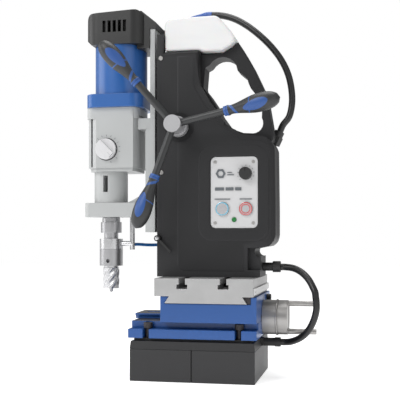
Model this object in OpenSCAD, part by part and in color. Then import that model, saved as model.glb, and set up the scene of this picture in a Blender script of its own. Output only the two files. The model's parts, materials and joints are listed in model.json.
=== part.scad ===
/* [Magnet foot] */
// Length of the foot, front to rear
foot_len = 220; // [200:5:250]
// Width of the foot
foot_wid = 190; // [170:5:220]
// Height of the two magnet blocks
magnet_h = 56; // [48:1:70]
// Height of the yoke plate that joins the magnets
yoke_h = 14; // [10:1:20]
// Width of the seam between the two magnets
seam = 1.4; // [1:0.2:4]
// Width of the coil groove in each magnet
coil_groove = 14; // [10:1:18]

/* [Cross slide] */
// Thickness of the spacer under the base plate
spacer_h = 5; // [3:0.5:8]
// Thickness of the base plate
base_h = 16; // [12:1:22]
// Overhang of the base plate past each end of the foot
base_over = 3; // [1:0.5:6]
// Thickness of the lower slide plate
lower_h = 12; // [10:1:16]
// Width of the lower slide plate
lower_wid = 140; // [130:2:150]
// Height of the long rail
rail_h = 10; // [9:0.5:14]
// Width of the long rail over its top
rail_wid = 68; // [60:1:80]
// Height of the saddle
saddle_h = 45; // [40:1:56]
// Length of the saddle
saddle_len = 168; // [160:2:172]
// Diameter of the base cap screws
base_screw_d = 10; // [8:1:12]
// Diameter of the handwheel drum
drum_d = 62; // [50:1:64]
// Diameter of the long lead screw
lead_d = 8; // [7:0.5:9]

/* [Table] */
// Length of the slotted table
table_len = 173; // [165:1:185]
// Width of the slotted table
table_wid = 196; // [180:2:216]
// Thickness of the slotted table
table_h = 31; // [28:1:38]
// Depth of the dovetail under the table
tail_h = 12; // [10:0.5:14]
// Neck width of the slots
slot_neck = 11; // [9:0.5:13]
// Head width of the slots
slot_head = 18.5; // [17:0.5:21]
// Head height of the slots
slot_head_h = 7.5; // [6:0.5:9]

/* [Column] */
// Half the width of the column
col_half = 42; // [38:1:50]
// Half the width of the carrying handle
grip_half = 21; // [17:1:26]
// Wall of the column shells
col_wall = 5; // [3:0.5:7]
// Height of the column above the table
col_height = 404; // [380:4:440]
// Half the width of the coolant tank
tank_half = 38; // [34:1:44]

/* [Drill head] */
// Distance of the spindle axis from the column's front
spindle_reach = 99; // [92:1:110]
// Diameter of the neck
neck_d = 62; // [56:1:70]
// Width of the motor body
motor_d = 96; // [88:1:104]
// Diameter of the tool holder
holder_d = 43; // [38:1:48]
// Diameter of the spindle
spindle_d = 24; // [20:1:26]
// Diameter of the cutter
cutter_d = 30; // [24:1:36]
// Length of the cutter below the holder
cutter_len = 42; // [30:1:50]
// Diameter of the pilot pin
pilot_d = 6.3; // [5:0.1:8]

/* [Feed] */
// Length of an arm from the hub's axis to its tip
arm_reach = 192; // [170:2:210]
// Diameter of the arms
arm_d = 13; // [10:1:16]
// Largest diameter of the grips
grip_d = 28; // [24:1:34]
// Diameter of the hub
hub_d = 30; // [28:1:36]
// Diameter of the feed pinion shaft
pinion_shaft_d = 16; // [14:1:18]

/* [Clearances] */
// Gap between sliding faces
slide_gap = 0.3; // [0.2:0.05:0.5]
// Radial gap of a running shaft
run_gap = 0.05; // [0.02:0.01:0.1]
// Gap between fitted pieces that stay together
seat_gap = 0.2; // [0.1:0.05:0.4]

/* [Hidden] */
$fn = 64;
eps = 0.01;

// Heights of the stack, from the surface up
yoke_top = magnet_h + yoke_h;
base_bot = yoke_top + spacer_h;
base_top = base_bot + base_h;
lower_top = base_top + lower_h;
rail_top = lower_top + rail_h;
saddle_bot = lower_top + slide_gap;
saddle_top = saddle_bot + saddle_h;
table_bot = saddle_top + slide_gap;
table_top = table_bot + table_h;
col_top = table_top + col_height;

// Places along the length
base_len = foot_len + 2 * base_over;
base_rear = base_len / 2;
saddle_front = base_rear - saddle_len;
table_rear = base_rear - 5;
table_front = table_rear - table_len;
col_front = -74;
col_rear = 112;
spindle_x = col_front - spindle_reach;
lead_z = lower_top + 4;

module slab(x0, x1, y0, y1, z0, z1) {
    translate([x0, y0, z0]) cube([x1 - x0, y1 - y0, z1 - z0]);
}

// A cylinder between two places on one axis line
module rod_x(x0, x1, y, z, d) {
    translate([x0, y, z]) rotate([0, 90, 0]) cylinder(h = x1 - x0, d = d);
}

module rod_y(x, y0, y1, z, d) {
    translate([x, y0, z]) rotate([-90, 0, 0]) cylinder(h = y1 - y0, d = d);
}

module rod_z(x, y, z0, z1, d) {
    translate([x, y, z0]) cylinder(h = z1 - z0, d = d);
}

// Extrudes a side-view outline, given as [x, z], from y0 to y1
module side(y0, y1, pts) {
    translate([0, y1, 0]) rotate([90, 0, 0]) linear_extrude(y1 - y0) polygon(pts);
}

// Extrudes an end-view outline, given as [y, z], from x0 to x1
module endwise(x0, x1, pts) {
    translate([x0, 0, 0]) rotate([90, 0, 90]) linear_extrude(x1 - x0) polygon(pts);
}

// A rounded rectangle given by its corners
module pill(x0, x1, y0, y1, r) {
    for (x = [x0 + r, x1 - r], y = [y0 + r, y1 - r]) translate([x, y]) circle(r);
    translate([x0 + r, y0]) square([x1 - x0 - 2 * r, y1 - y0]);
    translate([x0, y0 + r]) square([x1 - x0, y1 - y0 - 2 * r]);
}

// A rounded slab standing upright: its outline is in x and z
module upright(x0, x1, z0, z1, y0, y1, r) {
    translate([0, y1, 0]) rotate([90, 0, 0]) linear_extrude(y1 - y0) pill(x0, x1, z0, z1, r);
}

// ---- Magnet foot ----
magnet_len = foot_len / 2 - seam / 2;
coil_inset = 22;
coil_depth = 38;
coil_recess = 1;

module coil_ring(x0, x1, z0, z1, grow) {
    translate([0, 0, z0]) linear_extrude(z1 - z0) difference() {
        pill(x0 + coil_inset - grow, x1 - coil_inset + grow,
            -foot_wid / 2 + coil_inset - grow, foot_wid / 2 - coil_inset + grow, 10);
        pill(x0 + coil_inset + coil_groove + grow, x1 - coil_inset - coil_groove - grow,
            -foot_wid / 2 + coil_inset + coil_groove + grow,
            foot_wid / 2 - coil_inset - coil_groove - grow, 6);
    }
}

module magnet_block(x0, x1) {
    difference() {
        slab(x0, x1, -foot_wid / 2, foot_wid / 2, 0, magnet_h);
        coil_ring(x0, x1, -1, coil_depth, 0);
    }
}

module magnet_front() {
    color([0.24, 0.24, 0.25]) magnet_block(-foot_len / 2, -seam / 2);
}

module magnet_rear() {
    color([0.24, 0.24, 0.25]) magnet_block(seam / 2, foot_len / 2);
}

module magnet_coils() {
    color([0.55, 0.3, 0.16]) for (x0 = [-foot_len / 2, seam / 2])
        coil_ring(x0, x0 + magnet_len, coil_recess, coil_depth - seat_gap, -seat_gap);
}

gland_z = yoke_top - 7.5;
gland_d = 15;
magnet_gland_x = foot_len / 2 + 34;
cable_d = 12;

// Thin non-magnetic strip in the seam, so that the two magnets hold apart
module magnet_spacer() {
    color([0.5, 0.48, 0.42]) slab(-seam / 2 + seat_gap / 2, seam / 2 - seat_gap / 2,
        -foot_wid / 2 + 2, foot_wid / 2 - 2, 0, magnet_h - 2);
}

module magnet_yoke() {
    taper = 1.5;
    color([0.3, 0.3, 0.31]) difference() {
        hull() {
            slab(-foot_len / 2, foot_len / 2, -foot_wid / 2, foot_wid / 2, magnet_h, magnet_h + 1);
            slab(-foot_len / 2 + taper, foot_len / 2 - taper, -foot_wid / 2 + taper,
                foot_wid / 2 - taper, yoke_top - 1, yoke_top);
        }
        slab(foot_len / 2 - 14, foot_len / 2 + 1, -10, 10, magnet_h - 1, yoke_top + 1);
    }
}

module magnet_gland() {
    color([0.07, 0.07, 0.08]) {
        slab(foot_len / 2 - 14 + seat_gap, foot_len / 2 + 4, -10 + seat_gap, 10 - seat_gap,
            magnet_h + seat_gap, yoke_top);
        rod_x(foot_len / 2 + 4 - eps, magnet_gland_x - 10, 0, gland_z, gland_d);
        rod_x(magnet_gland_x - 10 - eps, magnet_gland_x, 0, gland_z, gland_d + 2);
    }
}

// ---- Base and long slide ----
base_screw_x = 81;
base_screw_y = foot_wid / 2 - 18;
rail_under = 4;

module spacer_plate() {
    color([0.1, 0.1, 0.11]) difference() {
        slab(-foot_len / 2 + 6, foot_len / 2 - 6, -foot_wid / 2 + 8, foot_wid / 2 - 8,
            yoke_top, base_bot);
        for (x = [-base_screw_x, base_screw_x], y = [-base_screw_y, base_screw_y])
            rod_z(x, y, yoke_top - 1, base_bot + 1, base_screw_d + 1);
    }
}

module base_plate() {
    color([0.1, 0.28, 0.58]) difference() {
        slab(-base_rear, base_rear, -foot_wid / 2, foot_wid / 2, base_bot, base_top);
        for (x = [-base_screw_x, base_screw_x], s = [-1, 1]) {
            rod_z(x, s * base_screw_y, base_bot - 1, base_top + 1, base_screw_d + 1);
            translate([x - (base_screw_d + 1) / 2, s > 0 ? base_screw_y : -foot_wid / 2 - 1,
                base_bot - 1])
                cube([base_screw_d + 1, foot_wid / 2 + 1 - base_screw_y, base_h + 2]);
        }
    }
}

module base_screws() {
    head_d = base_screw_d * 1.6;
    socket = base_screw_d * 0.8;
    color([0.35, 0.33, 0.34]) for (x = [-base_screw_x, base_screw_x], y = [-base_screw_y, base_screw_y])
        difference() {
            union() {
                rod_z(x, y, base_top + seat_gap, base_top + base_screw_d, head_d);
                rod_z(x, y, yoke_top + seat_gap, base_top + 1, base_screw_d);
            }
            translate([x, y, base_top + base_screw_d / 2])
                cylinder(h = base_screw_d, d = socket, $fn = 6);
        }
}

lead_channel = lead_d + 8;
channel_bot = lead_z - lead_d / 2 - 3;

module lower_plate() {
    color([0.1, 0.28, 0.58]) difference() {
        slab(-base_rear, base_rear, -lower_wid / 2, lower_wid / 2, base_top, lower_top);
        slab(-base_rear + 10, base_rear + 1, -lead_channel / 2, lead_channel / 2,
            channel_bot, lower_top + 1);
        for (x = [-base_screw_x, base_screw_x], y = [-base_screw_y, base_screw_y])
            rod_z(x, y, base_top - 1, lower_top + 1, base_screw_d * 1.6 + 2);
    }
}

module x_rail() {
    top = rail_wid / 2;
    foot = rail_wid / 2 - rail_under;
    color([0.14, 0.3, 0.55]) difference() {
        endwise(-base_rear - 4, base_rear - 1, [[-foot, lower_top], [foot, lower_top],
            [foot, lower_top + 3], [top, rail_top - 3], [top, rail_top], [-top, rail_top],
            [-top, rail_top - 3], [-foot, lower_top + 3]]);
        slab(-base_rear + 10, base_rear, -lead_channel / 2, lead_channel / 2,
            lower_top - 1, rail_top + 1);
    }
}

bearing_rear = base_rear + 27;
wheel_rear = base_rear + 45;

module x_bearing() {
    color([0.66, 0.66, 0.67]) difference() {
        union() {
            rod_x(base_rear + eps, bearing_rear - 3, 0, lead_z, drum_d);
            rod_x(bearing_rear - 3 - eps, bearing_rear, 0, lead_z, drum_d + 3);
        }
        rod_x(base_rear - 1, bearing_rear + 1, 0, lead_z, lead_d + 2 * run_gap);
    }
}

grip_orbit = 25;
grip_rod_d = 10;
grip_rod_len = 50;

module handwheel() {
    start = bearing_rear + slide_gap;
    color([0.7, 0.7, 0.71]) difference() {
        union() {
            rod_x(start, wheel_rear, 0, lead_z, drum_d);
            for (s = [-1, 1])
                rod_x(wheel_rear - eps, wheel_rear + grip_rod_len, 0, lead_z + s * grip_orbit,
                    grip_rod_d);
        }
        rod_x(start - 1, wheel_rear - 5, 0, lead_z, lead_d + 2 * seat_gap);
    }
}

module lead_screw() {
    color([0.6, 0.6, 0.62]) {
        rod_x(-base_rear + 14, wheel_rear - 6, 0, lead_z, lead_d);
    }
}

// ---- Saddle ----
saddle_half = foot_wid / 2;
tail_x0 = table_front + 18;
tail_x1 = table_rear - 11;
tail_in = 8;
gib_t = 5;
groove_z = saddle_top - tail_h - slide_gap;
// how far the tail has narrowed at a height
function narrowed(z) = tail_in * (z - table_bot + tail_h) / tail_h;

module saddle() {
    under = rail_wid / 2 + slide_gap;
    lip = under - rail_under;
    lip_z = lower_top + 3 - slide_gap;
    color([0.1, 0.28, 0.58]) difference() {
        slab(saddle_front, base_rear, -saddle_half, saddle_half, saddle_bot, saddle_top);
        endwise(saddle_front - 1, base_rear + 1, [[-lip, saddle_bot - 1], [lip, saddle_bot - 1],
            [lip, lip_z], [under, rail_top - 3 - slide_gap], [under, rail_top + slide_gap],
            [-under, rail_top + slide_gap], [-under, rail_top - 3 - slide_gap], [-lip, lip_z]]);
        side(-saddle_half - 1, saddle_half + 1, [
            [tail_x0 + narrowed(groove_z) - 2 * slide_gap, groove_z],
            [tail_x1 + gib_t + 1, groove_z], [tail_x1 + gib_t + 1, saddle_top + 1],
            [tail_x0 + narrowed(saddle_top) - 2 * slide_gap, saddle_top + 1],
            [tail_x0 + narrowed(saddle_top) - 2 * slide_gap, saddle_top]]);
        rod_y(saddle_front + 30, -10, 10, rail_top + slide_gap + 6, 6);
        slab(-1, 19, -lead_channel / 2, lead_channel / 2, rail_top, rail_top + 8);
    }
}

module x_nut() {
    half = lead_channel / 2 - 1;
    color([0.75, 0.6, 0.3]) difference() {
        slab(0, 18, -half, half, channel_bot + 1, rail_top + 8 - seat_gap);
        rod_x(-1, 19, 0, lead_z, lead_d + 2 * run_gap);
    }
}

module saddle_gib() {
    color([0.5, 0.5, 0.52]) side(-saddle_half + 2, saddle_half - 2, [
        [tail_x1 - narrowed(groove_z + seat_gap) + 2 * slide_gap, groove_z + seat_gap],
        [tail_x1 + gib_t + 1 - seat_gap, groove_z + seat_gap],
        [tail_x1 + gib_t + 1 - seat_gap, saddle_top],
        [tail_x1 - narrowed(saddle_top) + 2 * slide_gap, saddle_top]]);
}

// A small lever on the saddle's rear end that clamps the table
clamp_y = 50;
clamp_z = saddle_top - 9;

module clamp_lever() {
    color([0.12, 0.12, 0.13]) difference() {
        union() {
            rod_x(base_rear + slide_gap, base_rear + 8, clamp_y, clamp_z, 12);
            translate([base_rear + 3, clamp_y, clamp_z]) rotate([-35, 0, 0])
                translate([0, -3, -24]) cube([5, 6, 24]);
        }
        rod_x(base_rear, base_rear + 6, clamp_y, clamp_z, 5);
    }
}

// ---- Table ----
slot_x = [-16, 56];
head_top = table_top - 10.5;

module tee_slot(x) {
    slab(x - slot_neck / 2, x + slot_neck / 2, -table_wid, table_wid, head_top - 1, table_top + 1);
    slab(x - slot_head / 2, x + slot_head / 2, -table_wid, table_wid,
        head_top - slot_head_h, head_top);
}

module table() {
    color([0.66, 0.66, 0.67]) difference() {
        union() {
            slab(table_front, table_rear, -table_wid / 2, table_wid / 2, table_bot, table_top);
            side(-table_wid / 2, table_wid / 2, [[tail_x0, table_bot - tail_h],
                [tail_x1, table_bot - tail_h], [tail_x1 - tail_in, table_bot],
                [tail_x1 - tail_in, table_bot + 1], [tail_x0 + tail_in, table_bot + 1],
                [tail_x0 + tail_in, table_bot]]);
        }
        for (x = slot_x) tee_slot(x);
    }
}

strip_z = table_bot + 4;

module table_strip() {
    color([0.8, 0.8, 0.8]) difference() {
        slab(table_rear + seat_gap, table_rear + 3.2, -table_wid / 2, table_wid / 2,
            strip_z, strip_z + 11);
        for (s = [-1, 1])
            rod_x(table_rear - 1, table_rear + 5, s * (table_wid / 2 - 7), strip_z + 5.5, 4);
    }
}

bolt_y = 22;

module tee_bolts() {
    color([0.3, 0.3, 0.32]) for (x = slot_x, s = [-1, 1]) {
        slab(x - slot_head / 2 + 1, x + slot_head / 2 - 1, s * bolt_y - 9, s * bolt_y + 9,
            head_top - slot_head_h + seat_gap, head_top - seat_gap);
        rod_z(x, s * bolt_y, head_top - 1, table_top + 12, 8);
    }
}

// Clearance round the four bolts where they come up into the column
module bolt_holes() {
    for (x = slot_x, s = [-1, 1]) rod_z(x, s * bolt_y, table_top - 1, table_top + 14, 9);
}

// ---- Column ----
shell_bot = table_top + seat_gap;
post_x = 3;
rear_x = 139;
lip_top = col_top + 31;
feed_x = col_front + 41;
feed_z = table_top + 267;

function arc(x, z, r, a0, a1, n) = [for (i = [0:n]) let (a = a0 + (a1 - a0) * i / n)
    [x + r * cos(a), z + r * sin(a)]];

// Heights of the handle loop, which fills the room between its foot and the top of the column
loop_foot = 252;
loop_rise = 152;
function up(h) = table_top + loop_foot + (h - loop_foot) * (col_height - loop_foot) / loop_rise;

// Side view of the thick part of the column
body_outline = concat(
    [[col_front, shell_bot], [col_rear, shell_bot], [col_rear, table_top + 36]],
    arc(col_rear - 2, table_top + 46, 9, -75, -210, 6),
    arc(rear_x - 24, table_top + 76, 24, -60, 0, 5),
    [[rear_x, table_top + 120], [rear_x - 1, table_top + 190]],
    arc(rear_x - 29, table_top + 221, 28, 10, 75, 5),
    [[80, table_top + 252], [48, up(276)], [22, up(312)],
    [post_x + 1, up(342)], [post_x, up(350)],
    [post_x, col_top], [col_front + 12, col_top], [col_front + 12, lip_top],
    [col_front, lip_top]]);

// Side view of the handle loop
handle_outer = concat(
    [[col_front + 14, table_top + 250], [80, table_top + 246]],
    arc(112, table_top + 252, 22, -60, 20, 4),
    [[125, up(304)], [115, up(337)], [98, up(373)],
    [85, up(396)], [76, up(411)], [70, up(420)], [66.5, col_top + 14.6],
    [59.3, col_top + 7.4], [42.2, col_top - 1.7], [post_x + 7, col_top - 1.7],
    [col_front + 14, col_top - 1.7]]);

// Side view of the finger opening, with the waves on its rear side
grip_opening = concat(
    [[7, up(340)], [10, up(376)]],
    arc(42, up(366), 28, 150, 30, 8),
    [[69, up(369)], [77, up(362)], [86, up(355)],
    [89, up(345)], [93, up(336)], [101, up(326)],
    [108, up(310)], [113, up(294)]],
    arc(97, up(274), 18, 30, -90, 7),
    [[80, up(257)], [64, up(263)], [51, up(272)],
    [42, up(285)], [30, up(308)], [18, up(326)]]);

// Side view of the room inside one shell
inner_outline = concat(
    [[col_front + col_wall, shell_bot + col_wall], [col_rear - col_wall - 26, shell_bot + col_wall],
    [col_rear - col_wall - 26, table_top + 62], [col_rear - 4, table_top + 68]],
    arc(rear_x - 26, table_top + 84, 20, -60, 0, 4),
    [[rear_x - col_wall - 1, table_top + 120], [rear_x - col_wall - 2, table_top + 188]],
    arc(rear_x - 31, table_top + 216, 24, 5, 80, 4),
    [[78, table_top + 240], [42, table_top + 262], [10, table_top + 308],
    [post_x - col_wall, table_top + 336], [post_x - col_wall, col_top - col_wall],
    [col_front + col_wall, col_top - col_wall]]);

recess_z0 = table_top + 13;
recess_z1 = table_top + 52;
recess_x = col_rear - 22;
panel_x0 = 24;
panel_x1 = 108;
panel_z0 = table_top + 87;
panel_z1 = table_top + 213;
plate_t = 2;
panel_sink = 3;
tail_half = 24;
guide_rear = feed_x + 14;
guide_half = 36;
knob_x = 87;
knob_z = panel_z1 - 30;
button_x = [45, 87];
button_z = panel_z0 + 34;
lamp_x = 66;
lamp_z = panel_z0 + 15;
screw_x = [-67, -66];
screw_z = [col_top - 12, table_top + 187];
plate_screw_x = [panel_x0 + 8, panel_x1 - 8];
plate_screw_z = [panel_z0 + 9, panel_z1 - 9];
lock_x = col_front + 6;
lock_z = table_top + 69;
board_y = -15;

module shell(s) {
    y_in = s * 0.1;
    difference() {
        union() {
            side(min(y_in, s * col_half), max(y_in, s * col_half), body_outline);
            side(min(y_in, s * grip_half), max(y_in, s * grip_half), handle_outer);
        }
        side(min(0, s * (col_half - col_wall)), max(0, s * (col_half - col_wall)), inner_outline);
        side(-col_half - 1, col_half + 1, grip_opening);
        // mouth for the slide's tail
        slab(col_front - 1, col_front + col_wall + 1, -tail_half - 3, tail_half + 3,
            shell_bot + 30, lip_top + 1);
        slab(col_front - 1, guide_rear, -tail_half - 3, tail_half + 3, col_top - col_wall - 1, lip_top + 1);
        // bore of the feed shaft
        rod_y(feed_x, -col_half - 1, col_half + 1, feed_z, pinion_shaft_d + 2 * run_gap);
        // rear recess
        slab(recess_x, col_rear + 5, -col_half - 1, -col_half + 12, recess_z0, recess_z1);
        // screws
        for (i = [0, 1]) rod_y(screw_x[i], -col_half - 1, -col_half + 8, screw_z[i], 4);
        bolt_holes();
    }
}

module shell_near() {
    color([0.16, 0.16, 0.165]) difference() {
        shell(-1);
        upright(panel_x0 - 1, panel_x1 + 1, panel_z0 - 1, panel_z1 + 1,
            -col_half - 1, -col_half + panel_sink, 10);
        upright(panel_x0 + 5, panel_x1 - 5, panel_z0 + 18, panel_z1 - 18,
            -col_half - 1, -col_half + col_wall + 1, 6);
        for (x = plate_screw_x, z = plate_screw_z)
            rod_y(x, -col_half - 1, -col_half + col_wall - 0.5, z, 3.4);
        rod_y(lamp_x, -col_half - 1, -col_half + col_wall + 1, lamp_z, 10);
        rod_y(lock_x, -col_half - 1, -col_half + 6, lock_z, 7);
    }
}

module shell_far() {
    color([0.16, 0.16, 0.165]) difference() {
        shell(1);
        rod_x(rear_x - 20, rear_x + 5, motor_gland_y, motor_gland_z, 10);
    }
}

module column_guide() {
    g = slide_gap;
    color([0.5, 0.5, 0.52]) difference() {
        slab(col_front + seat_gap, guide_rear, -guide_half, guide_half,
            shell_bot + col_wall + 1, col_top - col_wall - 1);
        slab(col_front - 1, col_front + col_wall + 1, -guide_half - 1, -tail_half - 2.5,
            shell_bot, col_top + 1);
        slab(col_front - 1, col_front + col_wall + 1, tail_half + 2.5, guide_half + 1,
            shell_bot, col_top + 1);
        slab(col_front - 1, col_front + col_wall + 1, -guide_half, guide_half,
            shell_bot, shell_bot + 31);
        translate([0, 0, groove_bot]) linear_extrude(col_height) tail_plan(g);
        rod_y(feed_x, -pinion_half - 1, pinion_half + 1, feed_z, 2 * pitch_r + 8);
        rod_y(feed_x, -col_half, col_half, feed_z, pinion_shaft_d + 2 * run_gap);
        bolt_holes();
    }
}

module cover_screws() {
    color([0.55, 0.55, 0.56]) {
        for (i = [0, 1]) {
            rod_y(screw_x[i], -col_half - 1.5, -col_half - seat_gap, screw_z[i], 8);
            rod_y(screw_x[i], -col_half - seat_gap - eps, -guide_half - slide_gap, screw_z[i], 3.6);
        }
        for (x = plate_screw_x, z = plate_screw_z) {
            rod_y(x, -col_half + panel_sink - plate_t - 1.2, -col_half + panel_sink - plate_t - 0.1,
                z, 6);
            rod_y(x, -col_half + panel_sink - plate_t - 0.1 - eps, -col_half + 4, z, 3);
        }
    }
}

// Small clamping screw with a thin lever, low on the column's front
module lock_lever() {
    color([0.1, 0.1, 0.11]) {
        rod_y(lock_x - 4, -col_half - 9, -col_half - slide_gap, lock_z, 11);
        rod_y(lock_x - 4, -col_half - 11, -col_half - 9 + eps, lock_z, 5);
        translate([lock_x - 4, -col_half - 6, lock_z]) rotate([0, 45, 0])
            translate([0, -1.5, -2]) cube([34, 3, 4]);
    }
}

module control_board() {
    color([0.1, 0.35, 0.2]) {
        slab(panel_x0 + 4, panel_x1 - 6, board_y - 1.6, board_y, panel_z0 + 8, panel_z1 - 20);
        slab(panel_x0 + 12, panel_x0 + 40, board_y, board_y + 12, panel_z0 + 20, panel_z0 + 60);
        for (x = button_x) rod_y(x, board_y - 8, board_y - 1.6, button_z, 12);
    }
}

button_d = 24;
bezel_d = 27;

module panel_plate() {
    y1 = -col_half + panel_sink - 0.1;
    color([0.86, 0.86, 0.86]) difference() {
        union() {
            upright(panel_x0, panel_x1, panel_z0, panel_z1, y1 - plate_t, y1, 9);
            for (x = button_x) rod_y(x, y1 - plate_t - 1.5, y1 - plate_t + eps, button_z, bezel_d);
        }
        for (x = button_x) rod_y(x, y1 - 9, y1 + 1, button_z, button_d + 1);
        for (x = plate_screw_x, z = plate_screw_z) rod_y(x, y1 - 9, y1 + 1, z, 3.4);
        rod_y(knob_x, y1 - 9, y1 + 1, knob_z, 7);
        rod_y(lamp_x, y1 - 9, y1 + 1, lamp_z, 9);
    }
}

plate_face = -col_half + panel_sink - 0.1 - plate_t;

module speed_knob() {
    color([0.06, 0.08, 0.07]) difference() {
        union() {
            rod_y(knob_x, plate_face - 12, plate_face - slide_gap, knob_z, 22);
            rod_y(knob_x, plate_face - 1, plate_face + 8, knob_z, 6);
        }
        translate([knob_x - 0.8, plate_face - 13, knob_z + 4]) cube([1.6, 2, 9]);
    }
}

module push_button(x) {
    rod_y(x, plate_face - 4, plate_face + 5, button_z, button_d);
    rod_y(x, plate_face + 5 - eps, plate_face + 9, button_z, 8);
}

module magnet_button() {
    color([0.75, 0.76, 0.77]) push_button(button_x[0]);
}

module motor_button() {
    color([0.8, 0.72, 0.72]) push_button(button_x[1]);
}

module status_lamp() {
    color([0.05, 0.45, 0.1]) {
        rod_y(lamp_x, plate_face - 1.2, plate_face + 5, lamp_z, 8.4);
        intersection() {
            translate([lamp_x, plate_face, lamp_z]) sphere(d = 8.4);
            rod_y(lamp_x, plate_face - 3.8, plate_face - 1, lamp_z, 8.4);
        }
    }
}

// ---- Coolant tank ----
tank_outline = concat(
    arc(col_front + 12 + 5.5, col_top + 6.5, 5, 180, 270, 3),
    [[post_x - 2, col_top + 1.5], [post_x + 7, col_top - 1.2], [42, col_top - 1.2],
    [59, col_top + 8], [66, col_top + 15], [66, col_top + 22], [60, col_top + 32],
    [50, col_top + 44]],
    arc(27, col_top + 46, 16, 40, 90, 3),
    [[-20, col_top + 61], [-47, col_top + 60]],
    arc(col_front + 12 + 12.5, col_top + 47.5, 12, 95, 180, 4));

module coolant_tank() {
    wall = 2.5;
    color([0.9, 0.9, 0.9]) difference() {
        side(-tank_half, tank_half, tank_outline);
        side(-tank_half + wall, tank_half - wall, [[col_front + 17, col_top + 8], [40, col_top + 8],
            [58, col_top + 20], [44, col_top + 42], [28, col_top + 57], [col_front + 24, col_top + 56],
            [col_front + 17, col_top + 46]]);
        rod_z(-30, tank_half - 16, col_top + 40, col_top + 80, 16);
    }
}

cap_rise = 3;

module tank_cap() {
    color([0.12, 0.12, 0.13]) {
        rod_z(-30, tank_half - 16, col_top + 61.2, col_top + 61 + cap_rise, 22);
        rod_z(-30, tank_half - 16, col_top + 50, col_top + 61.2 + eps, 15.6);
    }
}

// ---- Glands ----
motor_gland_y = 24;
motor_gland_z = table_top + 240;

module motor_gland() {
    color([0.09, 0.09, 0.1]) {
        translate([rear_x - 10, motor_gland_y, motor_gland_z]) rotate([0, 25, 0]) {
            cylinder(h = 26, d = 18);
            cylinder(h = 16, d = 22, $fn = 6);
        }
    }
}

foot_gland_z = table_top + 18;
foot_gland_end = col_rear + 32;

module foot_cable_gland() {
    color([0.09, 0.09, 0.1]) {
        rod_x(col_rear + 0.1, foot_gland_end - 14, 0, foot_gland_z, 15);
        rod_x(foot_gland_end - 14 - eps, foot_gland_end, 0, foot_gland_z, 20);
    }
}

// ---- Feed slide ----
slide_bot = table_top + 80;
slide_top = table_top + 448;
slide_face = col_front - 15;
slide_thick_face = col_front - 24;
slide_back = col_front - 6;
slide_half = 34;
feed_stroke = 110;
groove_bot = shell_bot + 32;
tail_bot = groove_bot + feed_stroke + 3;
tail_top = col_top - 2;
rack_module = 2;
pinion_teeth = 14;
pitch_r = rack_module * pinion_teeth / 2;
tooth_pitch = rack_module * 180 / 57.29578;
rack_line = feed_x - pitch_r;
pinion_half = 10;
neck_half = 15;

module tail_plan(g) {
    polygon([[slide_back - 3, -neck_half - g], [col_front + 1, -neck_half - g],
        [col_front + 12, -tail_half + 2 - g], [col_front + 14 + g, -tail_half + 2 - g],
        [col_front + 14 + g, -pinion_half - 2 - g], [rack_line + rack_module + 1 + g, -pinion_half - 2 - g],
        [rack_line + rack_module + 1 + g, pinion_half + 2 + g], [col_front + 14 + g, pinion_half + 2 + g],
        [col_front + 14 + g, tail_half - 2 + g], [col_front + 12, tail_half - 2 + g],
        [col_front + 1, neck_half + g], [slide_back - 3, neck_half + g]]);
}

rack_z0 = feed_z - 16;
rack_z1 = feed_z + 130;
tooth_half = tooth_pitch * 0.2;

module slide() {
    teeth_down = floor((feed_z - rack_z0) / tooth_pitch);
    teeth_up = floor((rack_z1 - feed_z) / tooth_pitch);
    color([0.68, 0.68, 0.69]) {
        difference() {
            union() {
                slab(slide_face, slide_back, -slide_half, slide_half, slide_bot, slide_top);
                slab(slide_thick_face, slide_face + eps, -slide_half, slide_half, slide_bot, feed_z);
                translate([0, 0, tail_bot]) linear_extrude(tail_top - tail_bot) tail_plan(0);
            }
            slab(rack_line - rack_module * 1.25, rack_line + 10, -pinion_half - 4, pinion_half + 4,
                rack_z0 - 3, rack_z1);
            slab(col_front + 15, rack_line + 10, -tail_half, tail_half, tail_bot - 1, rack_z0 - 3);
        }
        for (k = [-teeth_down:teeth_up - 1])
            translate([0, 0, feed_z + (k + 0.5) * tooth_pitch])
                side(-pinion_half - 2, pinion_half + 2, [
                    [rack_line - rack_module * 1.25 - eps, -tooth_half * 1.8],
                    [rack_line + rack_module * 0.9, -tooth_half * 0.7],
                    [rack_line + rack_module * 0.9, tooth_half * 0.7],
                    [rack_line - rack_module * 1.25 - eps, tooth_half * 1.8]]);
    }
}

gear_x = -163;
gear_front = gear_x - 46;
gear_rear = gear_x + 50;
gear_bot = table_top + 191;
gear_top = gear_bot + 116;
gear_half = 42;

module motor_bracket() {
    color([0.72, 0.72, 0.73]) {
        slab(gear_rear + 0.1, slide_face - 0.1, -32, 32, feed_z + 0.1, gear_top - 20.2);
        slab(gear_rear - 6, gear_rear + 0.2, -28, 28, feed_z + 1, gear_top - 14);
    }
}

selector_x = -169;
selector_z = gear_bot + 40;

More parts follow.
